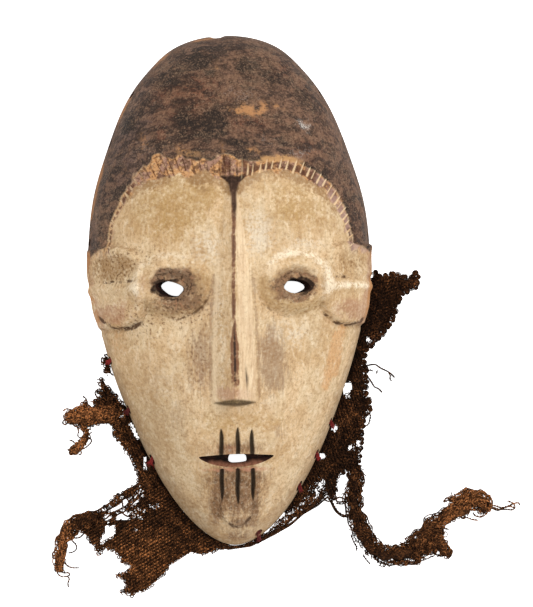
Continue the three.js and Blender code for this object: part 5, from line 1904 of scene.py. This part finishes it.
scrap_runs = drape(looped_runs((-70, -45), (-60, -32), 0.4, in_scrap, 23, 0.4), scrap_height)
scrap_runs += top_curls(scattered((-69, -43), (-62, -33), 60, 45, in_scrap), 24, scrap_height)
scrap_runs += edge_ends(SCRAP_OUTLINE, 2.2, 25, (0.8, 1.8))
for corners in SCRAP_STRANDS:
    scrap_runs += laid_yarn(corners, 1.6, 2, 0.25)
scrap_yarns = add_yarns("scrap_loops", scrap_runs, YARN)
scrap_cloth = lay_cloth("scrap_cloth", SCRAP_OUTLINE, [], scrap_height, cell=0.7)
finish_netting(scrap_cloth, shaded_cloth_ground)
finish_netting(scrap_yarns, fibre)
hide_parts("net_scrap")

# Red threads
# Short ends of red sewing thread, passed a few times through each rim hole and the
# netting, and knotted. They are frayed, and darkened by handling.
red_thread = bpy.data.materials.new("red_thread")
tree, shader, place = start_material(red_thread)
plies = cloud(tree, place, 0.5, 2)
light_ply = ramp(tree, plies, 0.35, 0.65)
worn_red = blend_paint(tree, light_ply, paint(0.36, 0.06, 0.05), paint(0.66, 0.13, 0.10))
worn_red = blend_paint(tree, layer(tree, "tone"), paint(0.20, 0.05, 0.04), worn_red)
plug(tree, shader.inputs["Base Color"], worn_red)
shader.inputs["Roughness"].default_value = 0.85
finish_with_bump(tree, shader, plies, 0.0001)

THREAD = 0.55
# For each stitch: passes, how far it spreads along the rim and how bright it still is
STITCHES = {
    "left_1": (5, 1.5, 1.0), "left_2": (4, 1.7, 0.35), "left_3": (6, 2.3, 0.8), "right_1": (4, 1.1, 0.75),
    "right_2": (4, 1.1, 0.85), "right_3": (4, 1.1, 0.6), "chin": (3, 0.9, 0.35),
}


def stitch_runs(angle, passes, spread, draw):
    along_rim = np.array([math.cos(angle), math.sin(angle), 0])
    hanging = ((0.9, 5.6), (1.7, 4.4), (1.3, 2.9), (0.8, 2.2))
    shares = (0.6, 0.9, 1, 1)
    runs = []
    for number in range(passes):
        slide = (number / (passes - 1) - 0.5) * 2
        inner = rim_point(angle, -9.6, HOLE_Z + draw.uniform(-0.8, 0.4))
        bore = [rim_point(angle, offset, HOLE_Z + 0.5 * slide) for offset in (-8, -4, -0.6)]
        down = [rim_point(angle, offset, z) for offset, z in hanging]
        end = rim_point(angle, draw.uniform(1.6, 3.2), draw.uniform(1.2, 3.2))
        points = [inner + along_rim * slide * 0.8]
        points += [point + along_rim * slide * 0.7 for point in bore]
        points += [point + along_rim * slide * spread * share for point, share in zip(down, shares)]
        points.append(end + along_rim * slide * (spread + draw.uniform(0, 0.8)))
        points = np.array(points)
        at = np.linspace(0, len(points) - 1, 34)
        steps = np.arange(len(points))
        runs.append(np.stack([np.interp(at, steps, points[:, axis]) for axis in range(3)], axis=1))
    for _ in range(3):
        start = rim_point(angle, 1.6, draw.uniform(2.6, 4.8))
        start = start + along_rim * draw.uniform(-spread, spread) * 0.7
        runs.append(curl(start, draw.uniform(0, 2 * math.pi), draw.uniform(1.0, 2.2), draw, 0.9))
    for knot in (rim_point(angle, -10.2, HOLE_Z), rim_point(angle, 1.7, 4.2)):
        turns = np.linspace(0, 9, 26)
        wound = [0.62 * np.cos(turns), 0.62 * np.sin(turns * 1.3 + 1), 0.5 * np.sin(turns * 0.8)]
        runs.append(knot + np.stack(wound, axis=1))
    return runs


for number, (name, (passes, spread, lightness_and_highlight)) in enumerate(STITCHES.items()):
    draw = np.random.default_rng(90 + number)
    stitch = add_yarns(f"thread_{name}", stitch_runs(STITCH_ANGLES[name], passes, spread, draw), THREAD)
    stitch.data.materials.append(red_thread)
    add_layer(stitch, "tone", np.full(len(stitch.data.vertices), lightness_and_highlight))
    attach(stitch, "root")
    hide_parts(f"thread_stitch_{name}")

# Floor and light
# A plain white table top that the mask lies on. Soft light falls on it from a window
# high at the right, and weaker light from the left.
FLOOR_SIZE = 6.0

select_only()
bpy.ops.mesh.primitive_plane_add(size=FLOOR_SIZE, location=(0, 0, 0))
floor = bpy.context.object
floor.name = "floor"
pale = bpy.data.materials.new("pale_floor")
pale.use_nodes = True
pale_shader = pale.node_tree.nodes["Principled BSDF"]
pale_shader.inputs["Base Color"].default_value = (0.93, 0.93, 0.93, 1)
pale_shader.inputs["Roughness"].default_value = 0.9
pale_shader.inputs["Specular IOR Level"].default_value = 0.1
# The floor shines towards the camera alone, as the lit backdrop does, so it lights nothing from below
seen = pale.node_tree.nodes.new("ShaderNodeLightPath")
glow = blend_paint(pale.node_tree, seen.outputs["Is Camera Ray"], (0, 0, 0, 1), (1, 1, 1, 1))
plug(pale.node_tree, pale_shader.inputs["Emission Color"], glow)
pale_shader.inputs["Emission Strength"].default_value = 1.0
floor.data.materials.append(pale)


def add_soft_light(name, aim, away, size, power):
    lamp = bpy.data.objects.new(name, bpy.data.lights.new(name, "AREA"))
    bpy.context.collection.objects.link(lamp)
    lamp.data.shape = "DISK"
    lamp.data.size = size
    lamp.data.energy = power
    direction = Vector(aim).normalized()
    lamp.location = direction * away
    lamp.rotation_euler = direction.to_track_quat("Z", "Y").to_euler()


add_soft_light("window", (0.55, 0.25, 1.0), 1.6, 1.0, 14)
add_soft_light("fill", (-0.8, 0.1, 1.0), 2.0, 1.4, 7)
world = bpy.data.worlds.new("studio")
world.use_nodes = True
world.node_tree.nodes["Background"].inputs["Color"].default_value = (1, 0.985, 0.965, 1)
world.node_tree.nodes["Background"].inputs["Strength"].default_value = 0.7
bpy.context.scene.world = world
bpy.context.scene.view_settings.view_transform = "Standard"
